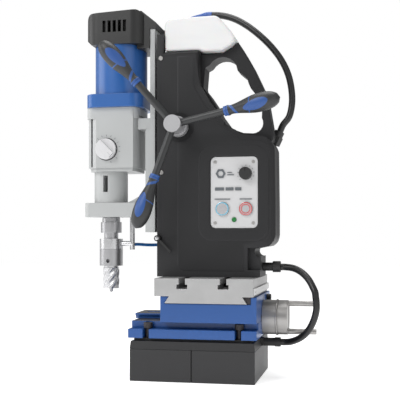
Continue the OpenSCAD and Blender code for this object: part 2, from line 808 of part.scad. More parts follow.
module gearbox() {
    inside = 36;
    color([0.7, 0.7, 0.71]) difference() {
        union() {
            translate([0, 0, gear_bot + 6]) linear_extrude(gear_top - gear_bot - 20)
                polygon([[gear_front + 1, -26], [gear_front + 9, -34], [gear_x - 26, -gear_half],
                    [gear_x + 44, -gear_half], [gear_rear, -30], [gear_rear, 30],
                    [gear_x + 44, gear_half], [gear_x - 26, gear_half], [gear_front + 9, 34],
                    [gear_front + 1, 26]]);
            translate([0, 0, gear_bot]) linear_extrude(7)
                polygon([[gear_front + 4, -22], [gear_front + 12, -31], [gear_x - 24, -gear_half + 4],
                    [gear_x + 42, -gear_half + 4], [gear_rear - 3, -27], [gear_rear - 3, 27],
                    [gear_x + 42, gear_half - 4], [gear_x - 24, gear_half - 4],
                    [gear_front + 12, 31], [gear_front + 4, 22]]);
            translate([0, 0, gear_top - 20]) linear_extrude(20)
                pill(gear_front, gear_rear + 2, -gear_half, gear_half, 14);
        }
        slab(gear_x - 38, gear_x + 38, -inside, inside, gear_bot + 8, gear_top + 1);
        slab(gear_rear - 6.2, gear_rear + 8, -28.2, 28.2, feed_z + 0.8, gear_top - 13.8);
        rod_y(selector_x, -gear_half - 1, -inside + 1, selector_z, 12);
        rod_z(spindle_x, 0, gear_bot - 1, gear_bot + 9, spindle_d + 2 * run_gap);
    }
}

module gear_selector() {
    y0 = -gear_half - 14;
    color([0.82, 0.82, 0.83]) difference() {
        union() {
            rod_y(selector_x, -gear_half - 7, -gear_half - slide_gap, selector_z, 38);
            rod_y(selector_x, -gear_half - 1, -31, selector_z, 11.8);
            translate([selector_x, 0, selector_z]) rotate([0, 45, 0])
                translate([-17, y0, -6]) cube([34, 10, 12]);
        }
        translate([selector_x, 0, selector_z]) rotate([0, 45, 0])
            translate([10, y0 - 1, -1]) cube([6, 2, 2]);
    }
}

collar_bot = gear_top + 0.2;
collar_top = collar_bot + 24;
motor_x = -153;
body_top = collar_top + 97;

module motor_collar() {
    color([0.16, 0.34, 0.62]) translate([0, 0, collar_bot]) linear_extrude(collar_top - collar_bot)
        difference() {
            pill(gear_front, gear_front + 106, -50, 50, 22);
            translate([motor_x, 0]) circle(d = motor_d - 10);
        }
}

module motor_body() {
    color([0.16, 0.34, 0.62]) difference() {
        rod_z(motor_x, 0, collar_top + 0.1, body_top, motor_d);
        rod_z(motor_x, 0, collar_top - 1, body_top + 1, motor_d - 10);
    }
}

cap_bot = body_top - 6;
cap_top = cap_bot + 59;
cap_front = gear_front;
cap_lobe = col_front - 4;
cap_half = 50;
lobe_bot = slide_top - 35;
boot_y = 46;
boot_z = cap_top - 22.8;

module motor_cap() {
    color([0.15, 0.15, 0.15]) difference() {
        union() {
            intersection() {
                side(-cap_half, cap_half, concat(
                    [[cap_front + 13, cap_bot - 2], [gear_x + 62, cap_bot - 2],
                    [gear_x + 64, cap_bot + 50]],
                    arc(gear_x + 50, cap_top - 12, 12, 30, 90, 3),
                    arc(cap_front + 14, cap_top - 16, 12, 95, 178, 4),
                    [[cap_front, cap_bot + 10]]));
                translate([0, 0, cap_bot - 3]) linear_extrude(90)
                    pill(cap_front, gear_x + 66, -cap_half, cap_half, 26);
            }
            side(-36, 36, [[gear_x + 50, cap_top], [gear_x + 58, cap_top],
                [cap_lobe, cap_top - 22], [cap_lobe, cap_top - 45], [slide_face - 2, lobe_bot],
                [gear_x + 50, lobe_bot]]);
            rod_x(gear_x + 50, -90, boot_y, boot_z, 18);
            rod_x(-90 - eps, -84, boot_y, boot_z, 14);
        }
        rod_z(motor_x, 0, min(cap_bot - 8, lobe_bot - 1), body_top + 0.2, motor_d + 2 * seat_gap);
        rod_z(motor_x, 0, body_top, cap_top - 4, motor_d - 8);
        slab(slide_face - seat_gap, 0, -slide_half - 3, slide_half + 3, slide_top - 60,
            slide_top + seat_gap);
        for (i = [0:4]) for (s = [-1, 1])
            slab(motor_x - 21 + i * 9.6, motor_x - 15 + i * 9.6, s > 0 ? cap_half - 8 : -cap_half - 1,
                s > 0 ? cap_half + 1 : -cap_half + 8, cap_bot + 20, cap_bot + 41);
        for (i = [-3:3]) slab(cap_front - 1, cap_front + 16, i * 9 - 3, i * 9 + 3,
            cap_bot + 20, cap_bot + 41);
    }
}

// ---- Neck and lower bracket ----
bracket_top = table_top + 134;
bracket_h = 26;
bracket_reach = 43;
bracket_bot = bracket_top - bracket_h;

module neck() {
    color([0.68, 0.68, 0.69]) difference() {
        rod_z(spindle_x, 0, bracket_top + 0.1, gear_bot - 0.1, neck_d);
        rod_z(spindle_x, 0, bracket_top - 1, gear_bot + 1, spindle_d + 2 * run_gap);
        slab(spindle_x - 6, spindle_x + 3, -neck_d, 0, gear_bot - 37, gear_bot - 7);
    }
}

module lower_bracket() {
    half = 33;
    color([0.72, 0.72, 0.73]) difference() {
        union() {
            translate([0, 0, bracket_bot]) linear_extrude(bracket_h)
                pill(spindle_x - bracket_reach, spindle_x + half, -half, half, 12);
            slab(spindle_x, slide_thick_face - 0.1, -half, half, bracket_bot, bracket_top);
            side(-half + 6, half - 6, [[spindle_x + 36, bracket_top - 1],
                [spindle_x + 48, bracket_top + 4], [spindle_x + 64, bracket_top + 13],
                [slide_thick_face - 0.1, bracket_top + 24], [slide_thick_face - 0.1, bracket_top - 1]]);
        }
        rod_z(spindle_x, 0, bracket_bot - 1, bracket_top + 1, spindle_d + 2 * run_gap);
        rod_z(pin_x, 0, bracket_bot - 1, bracket_bot + 14, pin_d + 2 * seat_gap);
    }
}

// ---- Coolant ring and its pin ----
pin_x = spindle_x + 41;
pin_d = 9;
ring_top = table_top + 68;
ring_bot = ring_top - 19;
stem_d = 26;

module coolant_pin() {
    color([0.6, 0.6, 0.61]) {
        rod_z(pin_x, 0, ring_bot - 1, bracket_bot + 13, pin_d);
        difference() {
            union() {
                rod_z(spindle_x, 0, ring_bot, ring_top, holder_d);
                rod_x(spindle_x + holder_d / 2 - 2, pin_x, 0, ring_bot + 10, 9.5);
            }
            rod_z(spindle_x, 0, ring_bot - 1, ring_top + 1, stem_d + 2 * run_gap);
        }
    }
}

// ---- Spindle ----
module spindle() {
    color([0.62, 0.62, 0.63]) {
        rod_z(spindle_x, 0, ring_top + 22, gear_bot + 9, spindle_d);
        rod_z(spindle_x, 0, bracket_bot - 9, bracket_bot - slide_gap, 33);
        rod_z(spindle_x, 0, ring_top + 11, bracket_bot - 9 + eps, 38.5);
        rod_z(spindle_x, 0, ring_top + slide_gap, ring_top + 11 + eps, stem_d);
    }
}

module tool_holder() {
    bot = ring_bot - 31;
    color([0.6, 0.6, 0.61]) difference() {
        union() {
            rod_z(spindle_x, 0, bot, ring_bot - slide_gap, holder_d);
            rod_z(spindle_x, 0, ring_bot - slide_gap - eps, ring_top + slide_gap - 0.1, stem_d);
        }
        rod_z(spindle_x, 0, bot - 1, bot + 26, 19);
        rod_y(spindle_x, -holder_d, 0, bot + 9, 7);
        rod_z(spindle_x, 0, bot + 25, ring_top + 5, pilot_d + 2 * seat_gap);
    }
}

cutter_top = ring_bot - 31;
cutter_bot = cutter_top - cutter_len;

module cutter() {
    flutes = 6;
    color([0.7, 0.7, 0.71]) difference() {
        union() {
            rod_z(spindle_x, 0, cutter_top - 0.1, cutter_top + 25, 19 - 2 * run_gap);
            rod_z(spindle_x, 0, cutter_top - 4, cutter_top - 0.1 + eps, cutter_d - 4);
            rod_z(spindle_x, 0, cutter_bot, cutter_top - 4 + eps, cutter_d);
        }
        rod_z(spindle_x, 0, cutter_bot - 1, cutter_top - 8, cutter_d - 8);
        rod_z(spindle_x, 0, cutter_bot - 1, cutter_top + 26, pilot_d + 2 * seat_gap);
        for (i = [0:flutes - 1]) rotate_about(i * 360 / flutes)
            translate([cutter_d / 2, 0, cutter_bot - 1]) rotate([32, 0, 0])
                cube([4, 4, 2.4 * cutter_len], center = true);
    }
}

module rotate_about(a) {
    translate([spindle_x, 0, 0]) rotate([0, 0, a]) children();
}

module pilot_pin() {
    color([0.75, 0.75, 0.76]) {
        rod_z(spindle_x, 0, cutter_bot - 6, cutter_top + 10, pilot_d);
        translate([spindle_x, 0, cutter_bot - 8]) cylinder(h = 2 + eps, d1 = 1, d2 = pilot_d, $fn = 32);
    }
}

// ---- Feed capstan ----
hub_near = -col_half - 58;
hub_far = -col_half - 6;
arm_angles = [11.2, 131.2, 251.2];
arm_lean = 7;
arm_y = hub_near + 14;
grip_len = 94;

module hub() {
    color([0.6, 0.6, 0.61]) difference() {
        union() {
            rod_y(feed_x, hub_near, hub_far, feed_z, hub_d);
            rod_y(feed_x, hub_far - 14, hub_far + eps, feed_z, hub_d + 6);
        }
        rod_y(feed_x, hub_near + 8, hub_far + 1, feed_z, pinion_shaft_d + 2 * seat_gap);
        for (a = arm_angles) arm_frame(a) cylinder(h = hub_d, d = arm_d + 2 * seat_gap);
    }
}

// Stands an arm's own axis along z, at its angle round the hub
module arm_frame(a) {
    translate([feed_x, arm_y, feed_z]) rotate([0, 90 - a, 0]) rotate([arm_lean, 0, 0])
        translate([0, 0, pinion_shaft_d / 2 + 0.6]) children();
}

arm_end = arm_reach - 8;

module feed_arms() {
    color([0.14, 0.14, 0.145]) for (a = arm_angles) arm_frame(a)
        cylinder(h = arm_end - grip_len + 16, d = arm_d);
}

function grip_r(t) = let (e = pow(max(0, 1 - pow(max(0, t - 0.62) / 0.38, 2.4)), 0.5))
    (grip_d / 2 - 5.5) * pow(sin(min(1, t / 0.62) * 90), 2) * e + 5.5 * e + (t < 0.62 ? 2 : 2 * e);

grip_profile = [for (i = [0:16]) [grip_r(i / 16), i / 16 * grip_len]];

module feed_grips() {
    color([0.11, 0.11, 0.12]) for (a = arm_angles) arm_frame(a)
        translate([0, 0, arm_end - grip_len]) difference() {
            rotate_extrude($fn = 40) polygon(concat([[0, 0]], [for (p = grip_profile)
                [max(p[0], 0), p[1]]], [[0, grip_len]]));
            translate([0, 0, -1]) cylinder(h = 17.4, d = arm_d + 2 * seat_gap);
        }
}

module grip_inlays() {
    color([0.12, 0.33, 0.66]) for (a = arm_angles) arm_frame(a)
        translate([0, 0, arm_end - grip_len]) {
            difference() {
                translate([0, 0, -5]) cylinder(h = 4.8, d = 17);
                translate([0, 0, -6]) cylinder(h = 7, d = arm_d + 2 * seat_gap);
            }
        }
}

module pinion_shaft() {
    end_far = col_half + 4;
    color([0.62, 0.62, 0.63]) {
        rod_y(feed_x, hub_near + 8 + seat_gap, end_far, feed_z, pinion_shaft_d);
        rod_y(feed_x, end_far - eps, end_far + 3, feed_z, pinion_shaft_d + 8);
        rod_y(feed_x, -pinion_half, pinion_half, feed_z, 2 * (pitch_r - rack_module * 1.2));
        for (k = [0:pinion_teeth - 1]) translate([feed_x, 0, feed_z])
            rotate([0, k * 360 / pinion_teeth, 0]) side(-pinion_half, pinion_half, [
                [-pitch_r + rack_module * 1.2 + 1, -tooth_half * 1.5],
                [-pitch_r - rack_module * 0.85, -tooth_half * 0.55],
                [-pitch_r - rack_module * 0.85, tooth_half * 0.55],
                [-pitch_r + rack_module * 1.2 + 1, tooth_half * 1.5]]);
    }
}

// ---- Cables and hose ----
motor_route = [[-84, 46, 638], [-76, 46, 638], [-64, 46.5, 641.5], [-46, 49, 652.5], [-25, 50, 662],
    [0, 50, 668], [25, 47, 667], [52, 41, 658], [78, 35, 642], [103, 30, 621], [125, 27, 598],
    [143, 25, 573], [155, 25, 547], [161, 25, 520], [162, 25, 494], [157, 24, 470],
    [146, 24, 455.5], [140, 24, 442.6]];
sleeve_route = [[-34, 49.6, 658.6], [-25, 50, 662], [-12, 50, 665], [0, 50, 668], [10, 49, 667.6]];
upper_route = [[144, 0, 197], [152, 0, 197], [168, -6, 195], [183, -16, 188], [196, -28, 176],
    [205, -37, 161], [208, -40, 154], [209, -41, 146]];
lower_route = [[209, -41, 146], [210, -42, 138], [210, -42, 124], [206, -40, 108], [199, -34, 93],
    [189, -25, 80], [176, -14, 70], [162, -4, 64], [152, 0, 62.5], [144, 0, 62.5]];
hose_route = [[-132, 4.6, 237], [-132, 10, 237], [-124, 20, 237], [-112, 30, 236], [-98, 39, 236],
    [-82, 46, 238], [-66, 49, 250], [-56, 49, 275], [-54, 49, 320], [-54, 49, 380],
    [-54, 49, 440], [-54, 49, 500], [-54, 48, 550], [-52, 46, 580], [-48, 44, 594],
    [-44, 41, 600], [-44, 38.2, 600]];

function unit(v) = v / norm(v);
function along(r, i) = unit(r[min(i + 1, len(r) - 1)] - r[max(i - 1, 0)]);
function across(t) = unit(cross(t, abs(t[1]) < 0.9 ? [0, 1, 0] : [0, 0, 1]));

// One closed tube swept along a route's points
module tube(r, d, n) {
    m = len(r);
    rings = [for (i = [0:m - 1]) let (t = along(r, i), u = across(t), w = cross(t, u))
        for (k = [0:n - 1]) r[i] + d / 2 * (cos(k * 360 / n) * u + sin(k * 360 / n) * w)];
    walls = [for (i = [0:m - 2], k = [0:n - 1], half = [0, 1]) half == 0
        ? [i * n + k, i * n + (k + 1) % n, (i + 1) * n + (k + 1) % n]
        : [i * n + k, (i + 1) * n + (k + 1) % n, (i + 1) * n + k]];
    ends = [[for (k = [0:n - 1]) n - 1 - k], [for (k = [0:n - 1]) (m - 1) * n + k]];
    polyhedron(rings, concat(walls, ends), convexity = 8);
}

module motor_cable() {
    color([0.07, 0.07, 0.08]) tube(motor_route, cable_d, 10);
}

module cable_sleeve() {
    color([0.08, 0.28, 0.6]) tube(sleeve_route, cable_d + 2.4, 10);
}

module cable_upper() {
    color([0.07, 0.07, 0.08]) tube(upper_route, cable_d, 10);
}

module cable_lower() {
    color([0.07, 0.07, 0.08]) tube(lower_route, cable_d, 10);
}

module coolant_hose() {
    color([0.05, 0.25, 0.45]) tube(hose_route, 6, 8);
}

magnet_front();
magnet_rear();
magnet_coils();
magnet_spacer();
magnet_yoke();
magnet_gland();
spacer_plate();
base_plate();
base_screws();
lower_plate();
x_rail();
x_bearing();
handwheel();
lead_screw();
saddle();
x_nut();
saddle_gib();
clamp_lever();
table();
table_strip();
tee_bolts();
shell_near();
shell_far();
column_guide();
cover_screws();
lock_lever();
control_board();
panel_plate();
speed_knob();
magnet_button();
motor_button();
status_lamp();
coolant_tank();
tank_cap();
motor_gland();
foot_cable_gland();
slide();
motor_bracket();
gearbox();
gear_selector();
motor_collar();
motor_body();
motor_cap();
neck();
lower_bracket();
coolant_pin();
coolant_hose();
spindle();
tool_holder();
cutter();
pilot_pin();
hub();
feed_arms();
feed_grips();
grip_inlays();
pinion_shaft();
motor_cable();
cable_sleeve();
cable_upper();
cable_lower();
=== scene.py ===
import json
import math

import bmesh
import bpy
from mathutils import Matrix, Vector


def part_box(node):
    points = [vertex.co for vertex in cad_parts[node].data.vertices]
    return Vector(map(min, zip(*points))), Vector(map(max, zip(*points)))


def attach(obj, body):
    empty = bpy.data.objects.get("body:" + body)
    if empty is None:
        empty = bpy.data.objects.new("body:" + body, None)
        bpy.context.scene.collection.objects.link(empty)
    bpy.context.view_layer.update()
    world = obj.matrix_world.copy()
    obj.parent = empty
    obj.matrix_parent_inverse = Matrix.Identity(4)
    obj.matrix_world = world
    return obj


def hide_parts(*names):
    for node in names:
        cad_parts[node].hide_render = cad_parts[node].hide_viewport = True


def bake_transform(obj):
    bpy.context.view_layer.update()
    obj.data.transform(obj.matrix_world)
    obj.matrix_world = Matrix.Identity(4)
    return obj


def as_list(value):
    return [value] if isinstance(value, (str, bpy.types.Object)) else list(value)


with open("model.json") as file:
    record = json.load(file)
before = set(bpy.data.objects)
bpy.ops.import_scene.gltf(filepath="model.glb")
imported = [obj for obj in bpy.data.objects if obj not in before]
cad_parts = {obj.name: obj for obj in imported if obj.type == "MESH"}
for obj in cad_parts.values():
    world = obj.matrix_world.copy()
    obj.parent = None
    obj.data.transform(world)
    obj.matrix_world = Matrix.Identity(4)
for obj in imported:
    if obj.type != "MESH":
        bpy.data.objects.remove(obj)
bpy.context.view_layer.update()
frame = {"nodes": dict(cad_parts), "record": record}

bl_info = {
    "name": "Magnetic drill press",
    "version": (1, 0, 0),
    "blender": (4, 5, 0),
    "location": "3D View > Sidebar > Drill press",
    "description": "Builds the finished pieces and materials of a magnetic drill press",
    "category": "Object",
}

MM = 0.001


# ---------------------------------------------------------------- settings

class DrillFinishSettings(bpy.types.PropertyGroup):
    """Colours of the drill press."""
    black: bpy.props.FloatVectorProperty(
        name="Column black", description="Colour of the textured column coat",
        default=(0.017, 0.017, 0.018), subtype="COLOR", min=0, max=1)
    foot: bpy.props.FloatVectorProperty(
        name="Foot black", description="Colour of the magnet foot",
        default=(0.026, 0.026, 0.027), subtype="COLOR", min=0, max=1)
    blue: bpy.props.FloatVectorProperty(
        name="Blue", description="Colour of the painted slides and the motor",
        default=(0.008, 0.066, 0.25), subtype="COLOR", min=0, max=1)
    motor_blue: bpy.props.FloatVectorProperty(
        name="Motor blue", description="Colour of the motor body and its collar",
        default=(0.020, 0.098, 0.32), subtype="COLOR", min=0, max=1)
    grey: bpy.props.FloatVectorProperty(
        name="Casting grey", description="Colour of the painted gearbox castings",
        default=(0.40, 0.41, 0.41), subtype="COLOR", min=0, max=1)
    steel: bpy.props.FloatVectorProperty(
        name="Steel", description="Colour of bare machined steel",
        default=(0.40, 0.40, 0.40), subtype="COLOR", min=0, max=1)
    tank: bpy.props.FloatVectorProperty(
        name="Tank white", description="Colour of the coolant tank",
        default=(0.68, 0.68, 0.68), subtype="COLOR", min=0, max=1)


class DrillShapeSettings(bpy.types.PropertyGroup):
    """Sizes of the finishing shapes."""
    edge: bpy.props.FloatProperty(
        name="Edge break", description="Width of the small bevel on machined edges",
        default=0.8 * MM, unit="LENGTH", min=0)
    shell_round: bpy.props.FloatProperty(
        name="Shell rounding", description="Radius of the column's long outer edges",
        default=7 * MM, unit="LENGTH", min=0)
    cable: bpy.props.FloatProperty(
        name="Cable diameter", description="Outer diameter of both black cables",
        default=12 * MM, unit="LENGTH", min=0)
    hose: bpy.props.FloatProperty(
        name="Hose diameter", description="Outer diameter of the coolant hose",
        default=6 * MM, unit="LENGTH", min=0)


def finish_settings():
    return bpy.context.scene.drill_finish


def shape_settings():
    return bpy.context.scene.drill_shape


# ---------------------------------------------------------------- materials

class Value:
    """A shader socket that takes part in ordinary arithmetic."""

    def __init__(self, finish, socket):
        self.finish = finish
        self.socket = socket

    def maths(self, operation, first, second):
        return self.finish.maths_of(operation, first, second)

    def __add__(self, other):
        return self.maths("ADD", self, other)

    def __sub__(self, other):
        return self.maths("SUBTRACT", self, other)

    def __mul__(self, other):
        return self.maths("MULTIPLY", self, other)

    def __rsub__(self, other):
        return self.maths("SUBTRACT", other, self)

    __radd__ = __add__
    __rmul__ = __mul__


class Finish:
    """One material, its shader and the nodes that feed it."""

    def __init__(self, name):
        self.material = bpy.data.materials.new(name)
        self.material.use_nodes = True
        self.tree = self.material.node_tree
        self.shader = self.tree.nodes["Principled BSDF"]

    def node(self, kind, settings=None, inputs=None, output=0):
        """Adds a node: its settings first, then the values or links of its sockets."""
        made = self.tree.nodes.new(kind)
        for name, value in (settings or {}).items():
            if name == "stops":
                ramp = made.color_ramp.elements
                while len(ramp) < len(value):
                    ramp.new(1.0)
                for stop, (place, shade) in zip(ramp, value):
                    stop.position = place
                    stop.color = (shade, shade, shade, 1)
            else:
                setattr(made, name, value)
        for name, value in (inputs or {}).items():
            self.feed(made.inputs[name], value)
        return Value(self, made.outputs[output])

    def feed(self, socket, value):
        if isinstance(value, Value):
            self.tree.links.new(value.socket, socket)
        else:
            socket.default_value = value

    def set(self, **constants):
        """Sets sockets of the shader that are the same all over, or links that vary."""
        for name, value in constants.items():
            self.feed(self.shader.inputs[name.replace("_", " ")], value)
        return self

    def place(self, stretch=(1, 1, 1), centre=(0, 0, 0)):
        """Object coordinates, stretched and shifted."""
        spot = self.node("ShaderNodeTexCoord", output="Object")
        offset = tuple(-c * s for c, s in zip(centre, stretch))
        return self.node("ShaderNodeMapping", None,
                         {"Vector": spot, "Scale": stretch, "Location": offset})

    def noise(self, scale, detail=3.0, roughness=0.5, stretch=(1, 1, 1), centre=(0, 0, 0)):
        return self.node("ShaderNodeTexNoise", None, {
            "Vector": self.place(stretch, centre), "Scale": scale, "Detail": detail,
            "Roughness": roughness})

    def maths_of(self, operation, first, second):
        return self.node("ShaderNodeMath", {"operation": operation}, {0: first, 1: second})

    def near(self, value, middle, spread):
        """1 where a value is close to a middle, else 0."""
        return self.node("ShaderNodeMath", {"operation": "COMPARE"},
                         {0: value, 1: middle, 2: spread})

    def most(self, first, second):
        return self.maths_of("MAXIMUM", first, second)

    def ramp(self, value, stops):
        return self.node("ShaderNodeValToRGB", {"stops": stops}, {"Fac": value})

    def blend(self, amount, first, second):
        return self.node("ShaderNodeMix", {"data_type": "RGBA"},
                         {0: amount, 6: first, 7: second}, output=2)

    def bump(self, height, strength, depth=0.1 * MM):
        return self.node("ShaderNodeBump", None,
                         {"Strength": strength, "Distance": depth, "Height": height})

    def worn_edge(self, start=0.53, end=0.62):
        """1 on outer edges that rub bare, 0 elsewhere."""
        pointed = self.node("ShaderNodeNewGeometry", output="Pointiness")
        return self.ramp(pointed, [(start, 0.0), (end, 1.0)])


def rgba(colour, gain=1.0):
    return tuple(min(1.0, c * gain) for c in colour) + (1.0,)


def powder_coat(name, colour, roughness=0.5, grain=900, wear=0.25):
    """A textured coat, slightly mottled, lighter where its edges rub."""
    f = Finish(name)
    cloud = f.noise(14, 4, 0.6)
    speck = f.noise(grain, 2, 0.6)
    base = f.blend(cloud, rgba(colour, 0.88), rgba(colour, 1.14))
    lit = f.blend(f.worn_edge() * wear, base, rgba(colour, 3.0))
    f.set(Base_Color=lit, Roughness=cloud * 0.14 + (roughness - 0.07),
          Normal=f.bump(speck, 0.35, 0.12 * MM))
    f.shader.inputs["Specular IOR Level"].default_value = 0.25
    return f.material


def gloss_paint(name, colour, roughness=0.34, wear=0.2):
    """Sprayed paint with a faint orange peel."""
    f = Finish(name)
    cloud = f.noise(9, 3, 0.5)
    peel = f.noise(420, 2, 0.4)
    base = f.blend(cloud, rgba(colour, 0.9), rgba(colour, 1.12))
    chipped = f.worn_edge(0.54, 0.66) * f.ramp(f.noise(160, 4, 0.7), [(0.45, 0.0), (0.62, 1.0)])
    f.set(Base_Color=f.blend(chipped * wear, base, rgba(colour, 2.6)),
          Roughness=cloud * 0.1 + roughness - 0.05, Normal=f.bump(peel, 0.18, 0.1 * MM))
    f.shader.inputs["Coat Roughness"].default_value = 0.25
    f.shader.inputs["Coat Weight"].default_value = 0.12
    return f.material


def cast_paint(name, colour, roughness=0.42):
    """Satin paint over a casting, with a fine sand texture below it."""
    f = Finish(name)
    cloud = f.noise(11, 4, 0.55)
    sand = f.noise(650, 3, 0.6)
    base = f.blend(cloud, rgba(colour, 0.93), rgba(colour, 1.06))
    f.set(Base_Color=base, Roughness=cloud * 0.12 + roughness - 0.06,
          Normal=f.bump(sand, 0.22, 0.1 * MM))
    return f.material


def bare_steel(name, colour, stretch, roughness=0.3, metallic=0.9, streak=0.16, centre=(0, 0, 0)):
    """Machined steel with its tool marks drawn out along one direction."""
    f = Finish(name)
    marks = f.noise(60, 4, 0.6, stretch, centre)
    stain = f.noise(22, 3, 0.5)
    tone = f.blend(marks, rgba(colour, 1 - streak), rgba(colour, 1 + streak))
    dull = f.blend(f.ramp(stain, [(0.4, 0.0), (0.8, 1.0)]) * 0.35, tone, rgba(colour, 0.72))
    f.set(Base_Color=dull, Roughness=marks * 0.18 + stain * 0.12 + roughness - 0.15,
          Normal=f.bump(marks, 0.25, 0.04 * MM))
    f.shader.inputs["Metallic"].default_value = metallic
    return f.material


def moulded(name, colour, roughness=0.45, grain=1100, strength=0.25, sheen=0.0):
    """Moulded plastic with a spark-eroded grain."""
    f = Finish(name)
    pits = f.noise(grain, 2, 0.7)
    cloud = f.noise(16, 3, 0.5)
    f.set(Base_Color=f.blend(cloud, rgba(colour, 0.92), rgba(colour, 1.09)),
          Roughness=cloud * 0.1 + roughness - 0.05, Normal=f.bump(pits, strength, 0.08 * MM))
    f.shader.inputs["Sheen Weight"].default_value = sheen
    return f.material


def grip_moulding(name, black, blue):
    """Two moulded colours: a leaf-shaped blue inlay, a thin cross line and a blue inner end.
    The piece's UV map holds the angle round the grip and the share of its length."""
    f = Finish(name)
    round_and_along = f.node("ShaderNodeUVMap", {"uv_map": "grip"})
    parts = {"Vector": round_and_along}
    angle = f.node("ShaderNodeSeparateXYZ", None, parts, 0)
    along = f.node("ShaderNodeSeparateXYZ", None, parts, 1)
    across = (angle - 0.79) * 8.6
    down = (along - 0.56) * 3.5
    slant = across + down * 0.3
    leaf = f.maths_of("LESS_THAN", slant * slant + down * down, 0.7)
    line = f.near(along + angle * 0.16, 0.565, 0.011) * f.maths_of("GREATER_THAN", angle, 0.48)
    tail = f.near(along - angle * 0.3, -0.10, 0.028) * f.maths_of("LESS_THAN", along, 0.2)
    heel = f.maths_of("LESS_THAN", along, 0.035)
    blue_part = f.most(f.most(leaf, line), f.most(tail, heel))
    pits = f.noise(900, 2, 0.7)
    cloud = f.noise(16, 3, 0.5)
    dark = f.blend(cloud, rgba(black, 0.9), rgba(black, 1.12))
    bright = f.blend(cloud, rgba(blue, 0.92), rgba(blue, 1.1))
    f.set(Base_Color=f.blend(blue_part, dark, bright), Roughness=cloud * 0.1 + 0.4,
          Normal=f.bump(pits - blue_part * 0.5, 0.22, 0.12 * MM))
    return f.material


def tank_plastic(name, colour):
    """Blow-moulded tank: soft white, a little translucent, faint flow bands."""
    f = Finish(name)
    bands = f.noise(18, 3, 0.5, (1, 1, 5))
    fine = f.noise(500, 2, 0.5)
    f.set(Base_Color=f.blend(bands, rgba(colour, 0.97), rgba(colour, 1.03)),
          Roughness=bands * 0.12 + 0.36, Normal=f.bump(fine, 0.12, 0.08 * MM))
    f.shader.inputs["Subsurface Weight"].default_value = 0.12
    f.shader.inputs["Subsurface Scale"].default_value = 0.004
    return f.material


def cable_jacket(name, colour, roughness=0.38):
    """Rubber jacket with a faint lay of the cores below it."""
    f = Finish(name)
    lay = f.noise(260, 3, 0.6)
    dust = f.noise(30, 3, 0.6)
    f.set(Base_Color=f.blend(dust, rgba(colour, 0.85), rgba(colour, 1.3)),
          Roughness=dust * 0.16 + roughness - 0.08, Normal=f.bump(lay, 0.2, 0.1 * MM))
    return f.material


def glow_lens(name, colour, strength=0.6):
    """A lamp's coloured lens with a soft, even glow."""
    f = Finish(name)
    cells = f.node("ShaderNodeTexVoronoi", None, {"Vector": f.place(), "Scale": 900.0})
    f.set(Base_Color=f.blend(cells, rgba(colour, 0.8), rgba(colour, 1.4)), Roughness=0.12)
    f.shader.inputs["Emission Color"].default_value = rgba(colour)
    f.shader.inputs["Emission Strength"].default_value = strength
    return f.material


def studio_floor():
    """A pale seamless floor with the faintest mottling."""
    f = Finish("studio_floor")
    f.set(Base_Color=f.blend(f.noise(3, 2, 0.5), (0.90, 0.90, 0.90, 1), (0.93, 0.93, 0.93, 1)),
          Roughness=0.7, Emission_Color=(1, 1, 1, 1), Emission_Strength=0.6)
    return f.material


